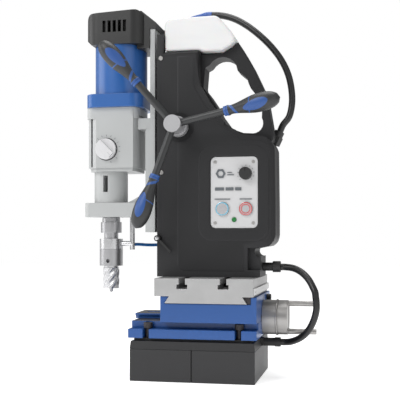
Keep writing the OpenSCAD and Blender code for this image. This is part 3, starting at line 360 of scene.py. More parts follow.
def make_finishes():
    """All the finishes by name."""
    c = finish_settings()
    column = frame["record"]["behaviour"]["joints"]
    spin = next(j for j in column if j["name"] == "spindle_spin")["pos_m"]
    axis_x = (spin[0], spin[1], 0)
    return {
        "floor": studio_floor(),
        "black": powder_coat("black_coat", c.black, 0.5),
        "foot": powder_coat("foot_coat", c.foot, 0.46, 700, 0.35),
        # painted shade: a near-black coat put on gaps and recesses where shade falls (spacer
        # plates, the ring round the hub, the rim round the selector)
        "gap": powder_coat("shadow_coat", (0.012, 0.012, 0.013), 0.6),
        "blue": gloss_paint("blue_paint", c.blue),
        "motor": gloss_paint("motor_paint", c.motor_blue, 0.3, 0.1),
        "grey": cast_paint("casting_paint", c.grey),
        "ground": bare_steel("ground_table", c.steel, (1, 14, 1), 0.42, 0.55, 0.08),
        "rail": bare_steel("ground_rail", (0.15, 0.145, 0.145), (14, 1, 1), 0.42, 0.7),
        "dial": bare_steel("turned_dial", (0.38, 0.37, 0.36), (22, 0.1, 0.1), 0.38, 0.85, 0.14),
        "turned": bare_steel("turned_spindle", (0.42, 0.42, 0.43), (0.05, 0.05, 22), 0.34, 0.95,
                             0.12, axis_x),
        "bright": bare_steel("bright_steel", (0.62, 0.62, 0.63), (8, 8, 8), 0.25),
        "cutter": bare_steel("cutter_steel", (0.56, 0.56, 0.57), (2, 2, 12), 0.36, 0.85),
        "screw": bare_steel("dark_screw", (0.045, 0.04, 0.042), (6, 6, 6), 0.45, 0.5),
        "strip": bare_steel("strip_steel", (0.5, 0.5, 0.5), (1, 16, 1), 0.35, 0.5),
        "hub": bare_steel("hub_steel", (0.40, 0.40, 0.41), (10, 1, 10), 0.42, 0.45),
        "knob": bare_steel("selector_alloy", (0.66, 0.66, 0.67), (7, 2, 7), 0.36, 0.35, 0.06),
        "bronze": bare_steel("bronze", (0.5, 0.36, 0.16), (1, 9, 9), 0.35),
        "plastic": moulded("black_plastic", (0.013, 0.013, 0.0135)),
        "cap": moulded("motor_cap_plastic", (0.013, 0.013, 0.013), 0.42, 800),
        "arm": moulded("arm_coat", (0.022, 0.023, 0.024), 0.4, 500, 0.15),
        "grip": grip_moulding("grip_rubber", (0.021, 0.022, 0.023), (0.018, 0.07, 0.25)),
        "grip_blue": moulded("grip_blue", (0.018, 0.075, 0.27), 0.4, 900, 0.2),
        "panel": cast_paint("panel_plate", (0.55, 0.55, 0.555), 0.35),
        "panel_mark": moulded("panel_mark", (0.10, 0.11, 0.12), 0.5),
        "button": bare_steel("button_alloy", (0.70, 0.70, 0.72), (5, 5, 5), 0.22, 0.8, 0.05),
        "ring_blue": moulded("ring_blue", (0.07, 0.42, 0.60), 0.35),
        "ring_red": moulded("ring_red", (0.55, 0.015, 0.015), 0.35),
        "tank": tank_plastic("tank_plastic", c.tank),
        "cable": cable_jacket("cable_jacket", (0.006, 0.006, 0.0065)),
        "sleeve": cable_jacket("blue_sleeve", (0.012, 0.07, 0.30), 0.35),
        "hose": cable_jacket("hose_jacket", (0.012, 0.10, 0.30), 0.25),
        "lamp": glow_lens("green_lens", (0.01, 0.14, 0.03), 0.12),
        "resin": moulded("cast_resin", (0.20, 0.09, 0.04), 0.3, 200),
        "board": moulded("board_mask", (0.02, 0.13, 0.06), 0.3, 300),
    }


finishes = {}


def finish(name):
    if not finishes:
        finishes.update(make_finishes())
    return finishes[name]


# ---------------------------------------------------------------- shape helpers

def blank():
    return bmesh.new()


def add_piece(name, bm, body=None, look="black", slot=None, instead=(), crease=32, levels=0):
    """Turns a bmesh into a piece that rides on a body, with its finish."""
    mesh = bpy.data.meshes.new(name)
    bm.normal_update()
    bm.to_mesh(mesh)
    bm.free()
    mesh.shade_smooth()
    mesh.set_sharp_from_angle(angle=math.radians(crease))
    piece = bpy.data.objects.new(name, mesh)
    bpy.context.scene.collection.objects.link(piece)
    looks = [look] if isinstance(look, str) else look
    for one in looks:
        mesh.materials.append(finish(one))
    even = piece.modifiers.new("Even shading", "WEIGHTED_NORMAL")
    even.keep_sharp = True
    if levels:
        smooth = piece.modifiers.new("Subdivision", "SUBSURF")
        smooth.levels = smooth.render_levels = levels
    if instead:
        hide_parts(*instead)
    if body:
        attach(piece, body)
    return piece


def cad_copy(node):
    """A merged copy of a CAD node, its flat faces whole again."""
    bm = blank()
    bm.from_mesh(frame["nodes"][node].data)
    bmesh.ops.remove_doubles(bm, verts=bm.verts, dist=0.002 * MM)
    bmesh.ops.dissolve_limit(bm, angle_limit=math.radians(0.6), verts=bm.verts, edges=bm.edges,
                             delimit={"NORMAL"})
    bm.normal_update()
    return bm


def sharp_edges(bm, angle=30, keep=None):
    """Edges that stand out by more than an angle, and pass a test."""
    limit = math.radians(angle)
    return [e for e in bm.edges if len(e.link_faces) == 2 and e.calc_face_angle(0) > limit
            and (keep is None or keep(e))]


def bevel(bm, edges, width, segments=2, clamp=True):
    bmesh.ops.bevel(bm, geom=edges, offset=width, offset_type="OFFSET", segments=segments,
                    profile=0.5, affect="EDGES", clamp_overlap=clamp, material=-1)
    bmesh.ops.remove_doubles(bm, verts=bm.verts, dist=0.002 * MM)


def soften(node, body, look, slot, width=None, segments=2, angle=35, keep=None, crease=32):
    """A CAD node with its sharp edges broken, standing for that node."""
    bm = cad_copy(node)
    edges = sharp_edges(bm, angle, keep)
    bevel(bm, edges, shape_settings().edge if width is None else width, segments)
    return add_piece("soft_" + node, bm, body, look, slot, (node,), crease)


def dress(node, look):
    """A CAD node whose shape is right gets its finish."""
    slots = frame["nodes"][node].material_slots
    for one in slots:
        one.material = finish(look)
    if not slots:
        frame["nodes"][node].data.materials.append(finish(look))


def turn(axis, degrees_):
    return Matrix.Rotation(math.radians(degrees_), 3, axis)


def turned(profile, place, axis="Y", steps=64):
    """A closed outline of (radius, height) pairs spun round an axis through place."""
    bm = blank()
    spots = [bm.verts.new((r * MM, 0, h * MM)) for r, h in profile]
    rim = [bm.edges.new((a, b)) for a, b in zip(spots, spots[1:] + spots[:1])]
    bmesh.ops.spin(bm, geom=spots + rim, cent=(0, 0, 0), axis=(0, 0, 1), dvec=(0, 0, 0),
                   angle=2 * math.pi, steps=steps, use_merge=True, use_duplicate=False)
    bmesh.ops.remove_doubles(bm, verts=bm.verts, dist=0.002 * MM)
    bmesh.ops.recalc_face_normals(bm, faces=bm.faces)
    along = {"X": turn("Y", 90), "Y": turn("X", -90), "Z": turn("Z", 0)}[axis]
    bmesh.ops.rotate(bm, verts=bm.verts, cent=(0, 0, 0), matrix=along)
    bmesh.ops.translate(bm, verts=bm.verts, vec=Vector(place) * MM)
    return bm


def block(low, high, rounding=0.0, segments=3, edges=None):
    """A box between two corners in mm, with rounded edges."""
    bm = blank()
    bmesh.ops.create_cube(bm, size=1)
    size = [b - a for a, b in zip(low, high)]
    middle = [(a + b) / 2 for a, b in zip(low, high)]
    bmesh.ops.scale(bm, verts=bm.verts, vec=[s * MM for s in size])
    bmesh.ops.translate(bm, verts=bm.verts, vec=[m * MM for m in middle])
    if rounding:
        chosen = [e for e in bm.edges if edges is None or edges(e)]
        bevel(bm, chosen, rounding * MM, segments)
    return bm


def plate(outline, y_low, y_high, rounding=0.0, segments=2, front_only=False):
    """An outline of (x, z) points in mm, extruded between two Y planes, with broken edges."""
    bm = blank()
    spots = [bm.verts.new((x * MM, y_low * MM, z * MM)) for x, z in outline]
    face = bm.faces.new(spots)
    grown = bmesh.ops.extrude_face_region(bm, geom=[face])
    moved = [v for v in grown["geom"] if isinstance(v, bmesh.types.BMVert)]
    bmesh.ops.translate(bm, verts=moved, vec=(0, (y_high - y_low) * MM, 0))
    bmesh.ops.recalc_face_normals(bm, faces=bm.faces)
    if rounding:
        near = [e for e in bm.edges
                if all(abs(v.co.y - y_low * MM) < 0.01 * MM for v in e.verts)
                or (not front_only and all(abs(v.co.y - y_high * MM) < 0.01 * MM for v in e.verts))]
        bevel(bm, near, rounding * MM, segments)
    return bm


RIM_RISE = 1.2 * MM


def sheet_with_holes(outlines, y_low, y_high, rounding=0.0, segments=3, slope=0.0):
    """Closed outlines of (x, z) points in mm, the later ones holes, between two Y planes."""
    bm = blank()
    for outline in outlines:
        spots = [bm.verts.new((x * MM, y_low * MM, z * MM)) for x, z in outline]
        for a, b in zip(spots, spots[1:] + spots[:1]):
            bm.edges.new((a, b))
    bmesh.ops.triangle_fill(bm, use_beauty=True, edges=bm.edges, normal=(0, -1, 0))
    bmesh.ops.dissolve_limit(bm, angle_limit=0.01, verts=bm.verts, edges=bm.edges)
    grown = bmesh.ops.extrude_face_region(bm, geom=bm.faces[:])
    moved = [g for g in grown["geom"] if isinstance(g, bmesh.types.BMVert)]
    bmesh.ops.translate(bm, verts=moved, vec=(0, (y_high - y_low) * MM, 0))
    bmesh.ops.recalc_face_normals(bm, faces=bm.faces)
    face_y = y_low * MM
    if slope:
        front = [f for f in bm.faces if all(abs(v.co.y - face_y) < 1e-6 for v in f.verts)]
        bmesh.ops.inset_region(bm, faces=front, thickness=slope * MM, depth=RIM_RISE,
                               use_even_offset=True)
    if rounding:
        rim = [e for e in sharp_edges(bm) if all(abs(v.co.y - face_y) < 1e-6 for v in e.verts)]
        bevel(bm, rim, rounding * MM, segments)
    return bm


def curve(x, z, radius, start, end, steps=8):
    """Points of an arc in (x, z)."""
    return [(x + radius * math.cos(math.radians(start + (end - start) * i / steps)),
             z + radius * math.sin(math.radians(start + (end - start) * i / steps)))
            for i in range(steps + 1)]


def rounded_outline(x0, x1, z0, z1, radius, steps=8):
    """Corner points of a rounded rectangle in (x, z)."""
    points = []
    for cx, cz, start in ((x1 - radius, z1 - radius, 0), (x0 + radius, z1 - radius, 90),
                          (x0 + radius, z0 + radius, 180), (x1 - radius, z0 + radius, 270)):
        for i in range(steps + 1):
            a = math.radians(start + 90 * i / steps)
            points.append((cx + radius * math.cos(a), cz + radius * math.sin(a)))
    return points


def join(*parts):
    """One bmesh of several."""
    whole = blank()
    for bm in parts:
        bm.normal_update()
        mesh = bpy.data.meshes.new("part")
        bm.to_mesh(mesh)
        bm.free()
        whole.from_mesh(mesh)
        bpy.data.meshes.remove(mesh)
    return whole


def paint(bm, index, test):
    """Faces that pass a test take another of the piece's finishes."""
    for face in bm.faces:
        if test(face):
            face.material_index = index


# ---------------------------------------------------------------- cords

def smooth_route(points, around=4):
    """Points in metres along a Catmull-Rom curve through a route in mm."""
    route = [Vector(p) * MM for p in points]
    ends = [route[0] * 2 - route[1]] + route + [route[-1] * 2 - route[-2]]
    fine = []
    for a, b, c, d in zip(ends, ends[1:], ends[2:], ends[3:]):
        for i in range(around):
            t = i / around
            fine.append(0.5 * ((2 * b) + (c - a) * t + (2 * a - 5 * b + 4 * c - d) * t * t
                               + (3 * b - a - 3 * c + d) * t ** 3))
    fine.append(route[-1])
    return fine


def route_length(points):
    return sum((b - a).length for a, b in zip(points, points[1:]))


def sweep(points, diameter, sides=20):
    """A tube along points, closed at both ends, carried round without twisting."""
    bm = blank()
    facing = (points[1] - points[0]).normalized()
    ring = bmesh.ops.create_circle(bm, segments=sides, radius=diameter / 2, cap_ends=True)["verts"]
    bmesh.ops.rotate(bm, verts=ring, cent=(0, 0, 0),
                     matrix=Vector((0, 0, 1)).rotation_difference(facing).to_matrix())
    bmesh.ops.translate(bm, verts=ring, vec=points[0])
    face = bm.faces[:][0]
    for i in range(1, len(points)):
        ahead = (points[min(i + 1, len(points) - 1)] - points[i - 1]).normalized()
        grown = bmesh.ops.extrude_face_region(bm, geom=[face], use_keep_orig=(i == 1))
        verts = [g for g in grown["geom"] if isinstance(g, bmesh.types.BMVert)]
        face = next(g for g in grown["geom"] if isinstance(g, bmesh.types.BMFace))
        bmesh.ops.rotate(bm, verts=verts, cent=points[i - 1],
                         matrix=facing.rotation_difference(ahead).to_matrix())
        bmesh.ops.translate(bm, verts=verts, vec=points[i] - points[i - 1])
        facing = ahead
    bmesh.ops.recalc_face_normals(bm, faces=bm.faces)
    return bm


MOTOR_ROUTE = [(-84, 46, 638), (-76, 46, 638), (-64, 46.5, 641.5), (-46, 49, 652.5), (-25, 50, 662),
               (0, 50, 668), (25, 47, 667), (52, 41, 658), (78, 35, 642), (103, 30, 621),
               (125, 27, 598), (143, 25, 573), (155, 25, 547), (161, 25, 520), (162, 25, 494),
               (157, 24, 470), (146, 24, 455.5), (140, 24, 442.6)]
SLEEVE_ROUTE = [(-34, 49.6, 658.6), (-25, 50, 662), (-12, 50, 665), (0, 50, 668), (10, 49, 667.6)]
UPPER_ROUTE = [(144, 0, 197), (152, 0, 197), (168, -6, 195), (183, -16, 188), (196, -28, 176),
               (205, -37, 161), (208, -40, 154), (209, -41, 146)]
LOWER_ROUTE = [(209, -41, 146), (210, -42, 138), (210, -42, 124), (206, -40, 108), (199, -34, 93),
               (189, -25, 80), (176, -14, 70), (162, -4, 64), (152, 0, 62.5), (144, 0, 62.5)]
HOSE_ROUTE = [(-132, 4.6, 237), (-132, 10, 237), (-124, 20, 237), (-112, 30, 236), (-98, 39, 236),
              (-82, 46, 238), (-66, 49, 250), (-56, 49, 275), (-54, 49, 320), (-54, 49, 380),
              (-54, 49, 440), (-54, 49, 500), (-54, 48, 550), (-52, 46, 580), (-48, 44, 594),
              (-44, 41, 600), (-44, 38.2, 600)]


class DRILL_OT_camera(bpy.types.Operator):
    """Sets the camera in front of the drill press, a little to its left"""
    bl_idname = "drill.camera"
    bl_label = "Camera"

    def execute(self, context):
        eye = bpy.data.cameras.new("camera")
        eye.sensor_width = 36
        eye.lens = 74.9
        eye.shift_y = 0.0915
        eye.clip_end = 30
        view = bpy.data.objects.new("camera", eye)
        view.location = (0.2983, -1.4927, 0.2516)
        view.rotation_euler = (math.radians(90), 0, math.radians(11.44))
        context.scene.collection.objects.link(view)
        context.scene.camera = view
        return {"FINISHED"}


class DRILL_OT_cords(bpy.types.Operator):
    """Makes the motor cable, the magnet cable in two stretches and the coolant hose"""
    bl_idname = "drill.cords"
    bl_label = "Cables and hose"

    def execute(self, context):
        s = shape_settings()
        sleeve = add_piece("blue_cable_sleeve", sweep(smooth_route(SLEEVE_ROUTE), 14.4 * MM, 28),
                           "column", "sleeve", "blue_paint", ("cable_sleeve",))
        cables = (
            ("motor_lead", MOTOR_ROUTE, s.cable, "cable", "cable_rubber", "motor_cable",
             ("carriage", "column"), ((-84, 46, 638), (-36, 46, 638)), "medium", (sleeve,)),
            ("magnet_lead_upper", UPPER_ROUTE, s.cable, "cable", "cable_rubber", "cable_upper",
             ("column", "saddle"), ((144, 0, 197), (209, -41, 146)), "medium", ()),
            ("magnet_lead_lower", LOWER_ROUTE, s.cable, "cable", "cable_rubber", "cable_lower",
             ("saddle", "foot"), ((209, -41, 146), (150, 0, 62.5)), "medium", ()),
            ("coolant_line", HOSE_ROUTE, s.hose, "hose", "hose_blue", "coolant_hose",
             ("carriage", "column"), ((-100, 49, 238), (-56, 49, 420)), "limp", ()),
        )
        for name, route, thick, look, slot, node, bodies, ends, stiffness, on_it in cables:
            line = smooth_route(route)
            piece = add_piece(name, sweep(line, thick), None, look, slot, (node,))
            start, end = (Vector(e) * MM for e in ends)
            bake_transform(piece)
            route_length(line)
            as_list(on_it)
        return {"FINISHED"}


# ---------------------------------------------------------------- pieces

def centre_of(node):
    low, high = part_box(node)
    return [(a + b) / 2 / MM for a, b in zip(low, high)]


def low_of(node):
    return [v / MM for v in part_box(node)[0]]


def high_of(node):
    return [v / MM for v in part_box(node)[1]]


def topped(node):
    """A painted node of the foot whose upper faces are ground bare."""
    bm = cad_copy(node)
    bevel(bm, sharp_edges(bm, 35), 0.8 * MM, 2)
    bm.normal_update()
    paint(bm, 1, lambda face: face.normal.z > 0.9)
    add_piece("soft_" + node, bm, "foot", ["blue", "rail"], "blue_paint", (node,))


class DRILL_OT_foot(bpy.types.Operator):
    """Finishes the two magnets, the plates over them and their screws"""
    bl_idname = "drill.foot"
    bl_label = "Magnet foot"

    def execute(self, context):
        for node in ("magnet_front", "magnet_rear", "magnet_yoke"):
            soften(node, "foot", "foot", "foot_paint", 1.2 * MM)
        # painted shade: the spacer plate takes the near-black shadow coat for the dark gap under
        # the base plate
        soften("spacer_plate", "foot", "gap", "foot_paint", 0.5 * MM)
        soften("base_plate", "foot", "blue", "blue_paint", 0.9 * MM)
        topped("lower_plate")
        soften("base_screws", "foot", "screw", "screw_steel", 0.5 * MM)
        soften("magnet_gland", "foot", "plastic", "black_plastic", 0.6 * MM)
        dress("magnet_coils", "resin")
        # painted shade: the magnet spacer takes the near-black shadow coat
        dress("magnet_spacer", "gap")
        return {"FINISHED"}


class DRILL_OT_slides(bpy.types.Operator):
    """Finishes the rail, the saddle, the lead screw and its handwheel"""
    bl_idname = "drill.slides"
    bl_label = "Cross slides"

    def execute(self, context):
        topped("x_rail")
        soften("x_bearing", "foot", "dial", "bright_steel", 0.9 * MM)
        soften("handwheel", "wheel", "dial", "bright_steel", 0.9 * MM)
        soften("saddle", "saddle", "blue", "blue_paint", 0.9 * MM)
        # painted shade: the gib is darkened with the screw finish for the dark gap beside it
        soften("saddle_gib", "saddle", "screw", "machined_steel", 0.4 * MM)
        soften("clamp_lever", "clamp", "plastic", "black_plastic", 0.8 * MM)
        dress("lead_screw", "bright")
        dress("x_nut", "bronze")
        return {"FINISHED"}


class DRILL_OT_table(bpy.types.Operator):
    """Finishes the ground table, its scale strip and the bolts in its slots"""
    bl_idname = "drill.table"
    bl_label = "Table"

    def execute(self, context):
        soften("table", "column", "ground", "machined_steel", 0.8 * MM)
        soften("table_strip", "column", "strip", "bright_steel", 0.4 * MM)
        soften("tee_bolts", "column", "screw", "screw_steel", 0.5 * MM)
        return {"FINISHED"}


class DRILL_OT_column(bpy.types.Operator):
    """Finishes the two column shells with their rounded edges, glands and screws"""
    bl_idname = "drill.column"
    bl_label = "Column"

    def execute(self, context):
        s = shape_settings()
        for node in ("shell_near", "shell_far"):
            bm = cad_copy(node)
            bevel(bm, [e for e in bm.edges if long_outer_edge(e, 30)], s.shell_round, 5, False)
            bevel(bm, [e for e in bm.edges if long_outer_edge(e, 15)], s.shell_round / 2, 3, False)
            rear = [e for e in sharp_edges(bm, 50) if min(v.co.x for v in e.verts) > 0]
            bevel(bm, rear, 0.3 * MM, 1)
            add_piece("soft_" + node, bm, "column", "black", "black_casting", (node,))
        window = rounded_outline(23, 109, 265.6, 393.6, 10)
        hub = centre_of("hub")
        swell = ([(-37, 205)] + curve(-22, 205, 15, 180, 270) + [(84, 190), (84, 238)]
                 + curve(111, 257, 17, -60, 0) + [(129, 300), (128, 370)]
                 + curve(110, 401, 19, 10, 75) + [(76, 424), (42, 449), (14, 486), (-5, 518),
                                                 (-6, 530), (-6, 574), (-37, 574)]
                 + curve(hub[0], hub[2], 25, 99, -99, 20))
        add_piece("near_swell", sheet_with_holes((swell, window), -42.1, -41.5, slope=3), "column",
                  "black", "black_casting")
        pad = rounded_outline(2, 127, 244, 412, 25, 12)
        add_piece("panel_pad", sheet_with_holes((pad, window), -43.4, -43.0, slope=3), "column",
                  "black", "black_casting")
        # painted shade: a near-black ring round the hub stands for the shaded recess there
        shade_ring = turned([(18, -42.4), (26.5, -42.4), (26.5, -43.5), (25, -43.5), (23.5, -42.9),
                       (18, -42.9)], (hub[0], 0, hub[2]), "Y")
        add_piece("hub_shadow_ring", shade_ring, "column", "gap", "black_casting")
        soften("cover_screws", "column", "dial", "bright_steel", 0.5 * MM)
        soften("foot_cable_gland", "column", "plastic", "black_plastic", 0.8 * MM)
        soften("motor_gland", "column", "plastic", "black_plastic", 0.8 * MM)
        soften("lock_lever", "lock", "plastic", "black_plastic", 0.7 * MM)
        low = low_of("lock_lever")
        top = high_of("lock_lever")[2] - 5.5
        front = low[1]
        end = turned([(0.02, front - 0.6), (2.2, front - 0.4), (3.2, front + 0.4), (3.2, front + 3),
                      (0.02, front + 3)], (low[0] + 5.5, 0, top), "Y")
        add_piece("lock_screw_end", end, "lock", "bright", "black_plastic")
        dress("column_guide", "rail")
        dress("control_board", "board")
        return {"FINISHED"}


def long_outer_edge(edge, reach):
    """Convex outline edges of a shell's body or handle, apart from its front and its foot."""
    if len(edge.link_faces) != 2 or edge.calc_face_angle_signed(0) < 0.5:
        return False
    near, far = (v.co for v in edge.verts)
    flat = [f for f in edge.link_faces if abs(f.normal.y) > 0.99]
    wall = [f for f in edge.link_faces if abs(f.normal.y) < 0.01]
    if len(flat) != 1 or len(wall) != 1 or abs(near.y - far.y) > 0.01 * MM:
        return False
    depths = [abs(v.co.y) for v in wall[0].verts]
    middle = (near + far) / 2
    outward = middle - Vector((60, 0, 505)) * MM
    outward.y = 0
    body = abs(near.y) > 30 * MM
    if body != (reach > 20) or (not body and outward.dot(wall[0].normal) < 0):
        return False
    at_front = min(near.x, far.x) < -70 * MM
    at_foot = max(near.z, far.z) < 181 * MM or (middle.x > 85 * MM and middle.z < 245 * MM)
    return not at_front and not at_foot and max(depths) - min(depths) > reach * MM


class DRILL_OT_panel(bpy.types.Operator):
    """Finishes the control plate with its knob, buttons, lamp and marks"""
    bl_idname = "drill.panel"
    bl_label = "Control panel"

    def execute(self, context):
        soften("panel_plate", "column", "panel", "panel_white", 0.5 * MM)
        soften("speed_knob", "knob", "plastic", "black_plastic", 0.8 * MM)
        soften("magnet_button", "button_left", "button", "button_metal", 0.7 * MM)
        soften("motor_button", "button_right", "button", "button_metal", 0.7 * MM)
        soften("status_lamp", "column", "lamp", "lamp_green", 0.6 * MM)
        face = low_of("panel_plate")[1]
        for name, node, body, rings in (
                ("magnet_button_rings", "magnet_button", "button_left", (("ring_blue", 11.5),)),
                ("motor_button_rings", "motor_button", "button_right",
                 (("ring_red", 11.5), ("ring_red", 8.4)))):
            x, front, z = centre_of(node)
            front = low_of(node)[1]
            rims = [turned([(r - 1.3, front + 0.6), (r, front + 0.6), (r, front - 0.2),
                            (r - 0.6, front - 0.35), (r - 1.3, front - 0.2)], (x, 0, z), "Y")
                    for look, r in rings]
            add_piece(name, join(*rims), body, rings[0][0], "button_metal")
        marks = []
        knob = centre_of("speed_knob")
        for i in range(11):
            tick = block((-0.35, face - 0.12, 13.4), (0.35, face + 0.1, 15.6))
            bmesh.ops.rotate(tick, verts=tick.verts, cent=(0, 0, 0), matrix=turn("Y", i * 27 - 135))
            bmesh.ops.translate(tick, verts=tick.verts, vec=(knob[0] * MM, 0, knob[2] * MM))
            marks.append(tick)
        for x0, x1, z0, z1 in ((31, 59, 317, 318.6), (76, 98, 317, 318.6), (32, 48, 333, 338.5),
                               (51, 65, 333, 338.5), (68, 79, 333, 338.5), (54, 66, 360, 361.6),
                               (54, 62, 364, 365.6)):
            marks.append(block((x0, face - 0.12, z0), (x1, face + 0.1, z1)))
        nut = [(42 + 9 * math.cos(math.radians(a)), 363 + 9 * math.sin(math.radians(a)))
               for a in range(0, 360, 60)]
        hole = [(42 + 4.6 * math.cos(math.radians(a)), 363 + 4.6 * math.sin(math.radians(a)))
                for a in range(0, 360, 15)]
        marks.append(sheet_with_holes((nut, hole), face - 0.12, face + 0.1))
        add_piece("panel_marks", join(*marks), "column", "panel_mark", "panel_white")
        return {"FINISHED"}


class DRILL_OT_tank(bpy.types.Operator):
    """Finishes the coolant tank and its filler cap"""
    bl_idname = "drill.tank"
    bl_label = "Coolant tank"

    def execute(self, context):
        soften("coolant_tank", "column", "tank", "white_plastic", 6 * MM, 5,
               keep=outer_side_edge)
        soften("tank_cap", "column", "plastic", "black_plastic", 0.8 * MM)
        return {"FINISHED"}


def outer_side_edge(edge):
    """Edges at the far left or right of the tank."""
    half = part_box("coolant_tank")[1].y
    return all(abs(abs(v.co.y) - half) < 0.05 * MM for v in edge.verts)


class DRILL_OT_carriage(bpy.types.Operator):
    """Finishes the slide, the gearbox, the neck and the lower bracket"""
    bl_idname = "drill.carriage"
    bl_label = "Drill carriage"

    def execute(self, context):
        for node in ("slide", "motor_bracket", "neck", "lower_bracket"):
            soften(node, "carriage", "grey", "grey_casting", 0.9 * MM)
        soften("gearbox", "carriage", "grey", "grey_casting", 2.2 * MM, 4)
        soften("coolant_pin", "carriage", "bright", "bright_steel", 0.5 * MM)
        soften("gear_selector", "selector", "knob", "bright_steel", 0.9 * MM, 3)
        x, _, z = centre_of("gear_selector")
        wall = low_of("gearbox")[1]
        # painted shade: the thin ring round the selector takes the near-black shadow coat for the
        # shaded gap round it
        rim = turned([(18.6, wall + 0.2), (20.6, wall + 0.2), (20.6, wall - 0.25),
                      (18.6, wall - 0.25)], (x, 0, z), "Y")
        add_piece("selector_rim", rim, "carriage", "gap", "grey_casting")
        ticks = []
        for angle in (-70, -50, -30, -10, 10, 30, 50, 70, 100, 130):
            tick = block((-0.4, wall - 0.15, 23.5), (0.4, wall + 0.1, 26.5))
            bmesh.ops.rotate(tick, verts=tick.verts, cent=(0, 0, 0), matrix=turn("Y", angle + 30))
            bmesh.ops.translate(tick, verts=tick.verts, vec=(x * MM, 0, z * MM))
            ticks.append(tick)
        add_piece("selector_marks", join(*ticks), "carriage", "panel_mark", "grey_casting")
        return {"FINISHED"}


class DRILL_OT_motor(bpy.types.Operator):
    """Finishes the drill motor, its collar and its ventilated cap"""
    bl_idname = "drill.motor"
    bl_label = "Motor"

    def execute(self, context):
        soften("motor_collar", "carriage", "motor", "blue_paint", 0.9 * MM, 3)
        soften("motor_body", "carriage", "motor", "blue_paint", 0.7 * MM)
        soften("motor_cap", "carriage", "cap", "black_plastic", 2.0 * MM, 3)
        return {"FINISHED"}


class DRILL_OT_spindle(bpy.types.Operator):
    """Finishes the spindle, the tool holder, the cutter and its pilot pin"""
    bl_idname = "drill.spindle"
    bl_label = "Spindle and cutter"

    def execute(self, context):
        soften("spindle", "spindle", "turned", "bright_steel", 0.6 * MM)
        soften("tool_holder", "spindle", "turned", "bright_steel", 0.9 * MM)
        add_piece("fluted_cutter", fluted_cutter(), "spindle", "cutter", "cutter_steel",
                  ("cutter",))
        soften("pilot_pin", "pilot", "turned", "bright_steel", 0.3 * MM)
        return {"FINISHED"}


FLUTES = 6
FLUTE_DEPTH = 2.6
FLUTE_LEAD = 17
SHANK_R = 9.4
PILOT_BORE_R = 3.5


def fluted_cutter():
    """The annular cutter: spiral flutes, a shank above them and a bore for the pilot."""
    low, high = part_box("cutter")
    x, y, _ = centre_of("cutter")
    outer = (high.x - low.x) / 2 / MM
    bottom, top = low.z / MM, high.z / MM
    shoulder = top - 29
    steps, levels = 96, 28
    bm = blank()

    def ring(radius_at, z):
        return [bm.verts.new(((x + radius_at(i) * math.cos(2 * math.pi * i / steps)) * MM,
                              (y + radius_at(i) * math.sin(2 * math.pi * i / steps)) * MM, z * MM))
                for i in range(steps)]

    def round_ring(radius, z):
        return ring(lambda i: radius, z)

    def fluted_ring(z):
        fade = FLUTE_DEPTH * min(1, max(0, (shoulder - z) / 3))

        def radius_at(i):
            across = (i / steps * FLUTES + (shoulder - z) / FLUTE_LEAD) % 1
            return outer - fade * max(0.0, 1 - abs(across - 0.3) / 0.3) ** 0.6
        return ring(radius_at, z)

    rings = [round_ring(PILOT_BORE_R, top), round_ring(SHANK_R, top),
             round_ring(SHANK_R, shoulder + 4), round_ring(outer - 1.6, shoulder + 4),
             round_ring(outer - 1.6, shoulder + 0.5)]
    rings += [fluted_ring(shoulder + (bottom - shoulder) * k / levels) for k in range(levels + 1)]
    rings += [round_ring(outer - 5, bottom + 0.8), round_ring(outer - 5, shoulder - 6),
              round_ring(PILOT_BORE_R, shoulder - 6)]
    for above, below in zip(rings, rings[1:] + rings[:1]):
        for i in range(steps):
            j = (i + 1) % steps
            bm.faces.new((above[i], above[j], below[j], below[i]))
    bmesh.ops.recalc_face_normals(bm, faces=bm.faces)
    return bm


GRIP_LENGTH = 94
ARM_ANGLES = (11.2, 131.2, 251.2)


def grip_shapes():
    """The three grips: fat towards their ends, each with a UV map of angle and length."""
    profile = [(6.8, 0), (8.4, 0.0), (9.0, 0.8), (9.2, 3)]
    for i in range(1, 24):
        t = i / 23
        fall = math.sqrt(max(0.0, 1 - max(0.0, (t - 0.62) / 0.38) ** 2.4))
        rise = math.sin(min(1.0, t / 0.62) * math.pi / 2) ** 2
        radius = 8.5 * rise * fall + 5.5 * fall + (2 if t < 0.62 else 2 * fall)
        profile.append((max(radius, 0.02), 3 + t * (GRIP_LENGTH - 3)))
    profile.append((0.02, 16))
    profile.append((6.8, 16))
    hub = centre_of("hub")
    for angle in ARM_ANGLES:
        bm = turned(profile, (0, 0, 0), "Z", 48)
        uv = bm.loops.layers.uv.new("grip")
        for face in bm.faces:
            middle = face.calc_center_median()
            home = math.atan2(middle.y, middle.x) / math.tau % 1
            for loop in face.loops:
                spot = loop.vert.co
                share = math.atan2(spot.y, spot.x) / math.tau % 1
                share += round(home - share)
                loop[uv].uv = (share, spot.z / (GRIP_LENGTH * MM))
        start = 16 / 2 + 0.6 + 184 - GRIP_LENGTH
        place = (Matrix.Translation(Vector((hub[0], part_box("hub")[0].y / MM + 14, hub[2])) * MM)
                 @ Matrix.Rotation(math.radians(90 - angle), 4, "Y")
                 @ Matrix.Rotation(math.radians(7), 4, "X")
                 @ Matrix.Translation((0, 0, start * MM)))
        bmesh.ops.transform(bm, matrix=place, verts=bm.verts)
        yield bm


class DRILL_OT_feed(bpy.types.Operator):
    """Finishes the feed hub, its arms and their grips"""
    bl_idname = "drill.feed"
    bl_label = "Feed handle"

    def execute(self, context):
        soften("hub", "capstan", "hub", "bright_steel", 0.9 * MM, 3)
        soften("feed_arms", "capstan", "arm", "arm_black", 0.5 * MM)
        for i, bm in enumerate(grip_shapes()):
            add_piece("feed_grip_%d" % (i + 1), bm, "capstan", "grip", "arm_black",
                      ("feed_grips",) if i == 0 else ())
        soften("grip_inlays", "capstan", "grip_blue", "blue_plastic", 0.6 * MM)
        dress("pinion_shaft", "bright")
        return {"FINISHED"}


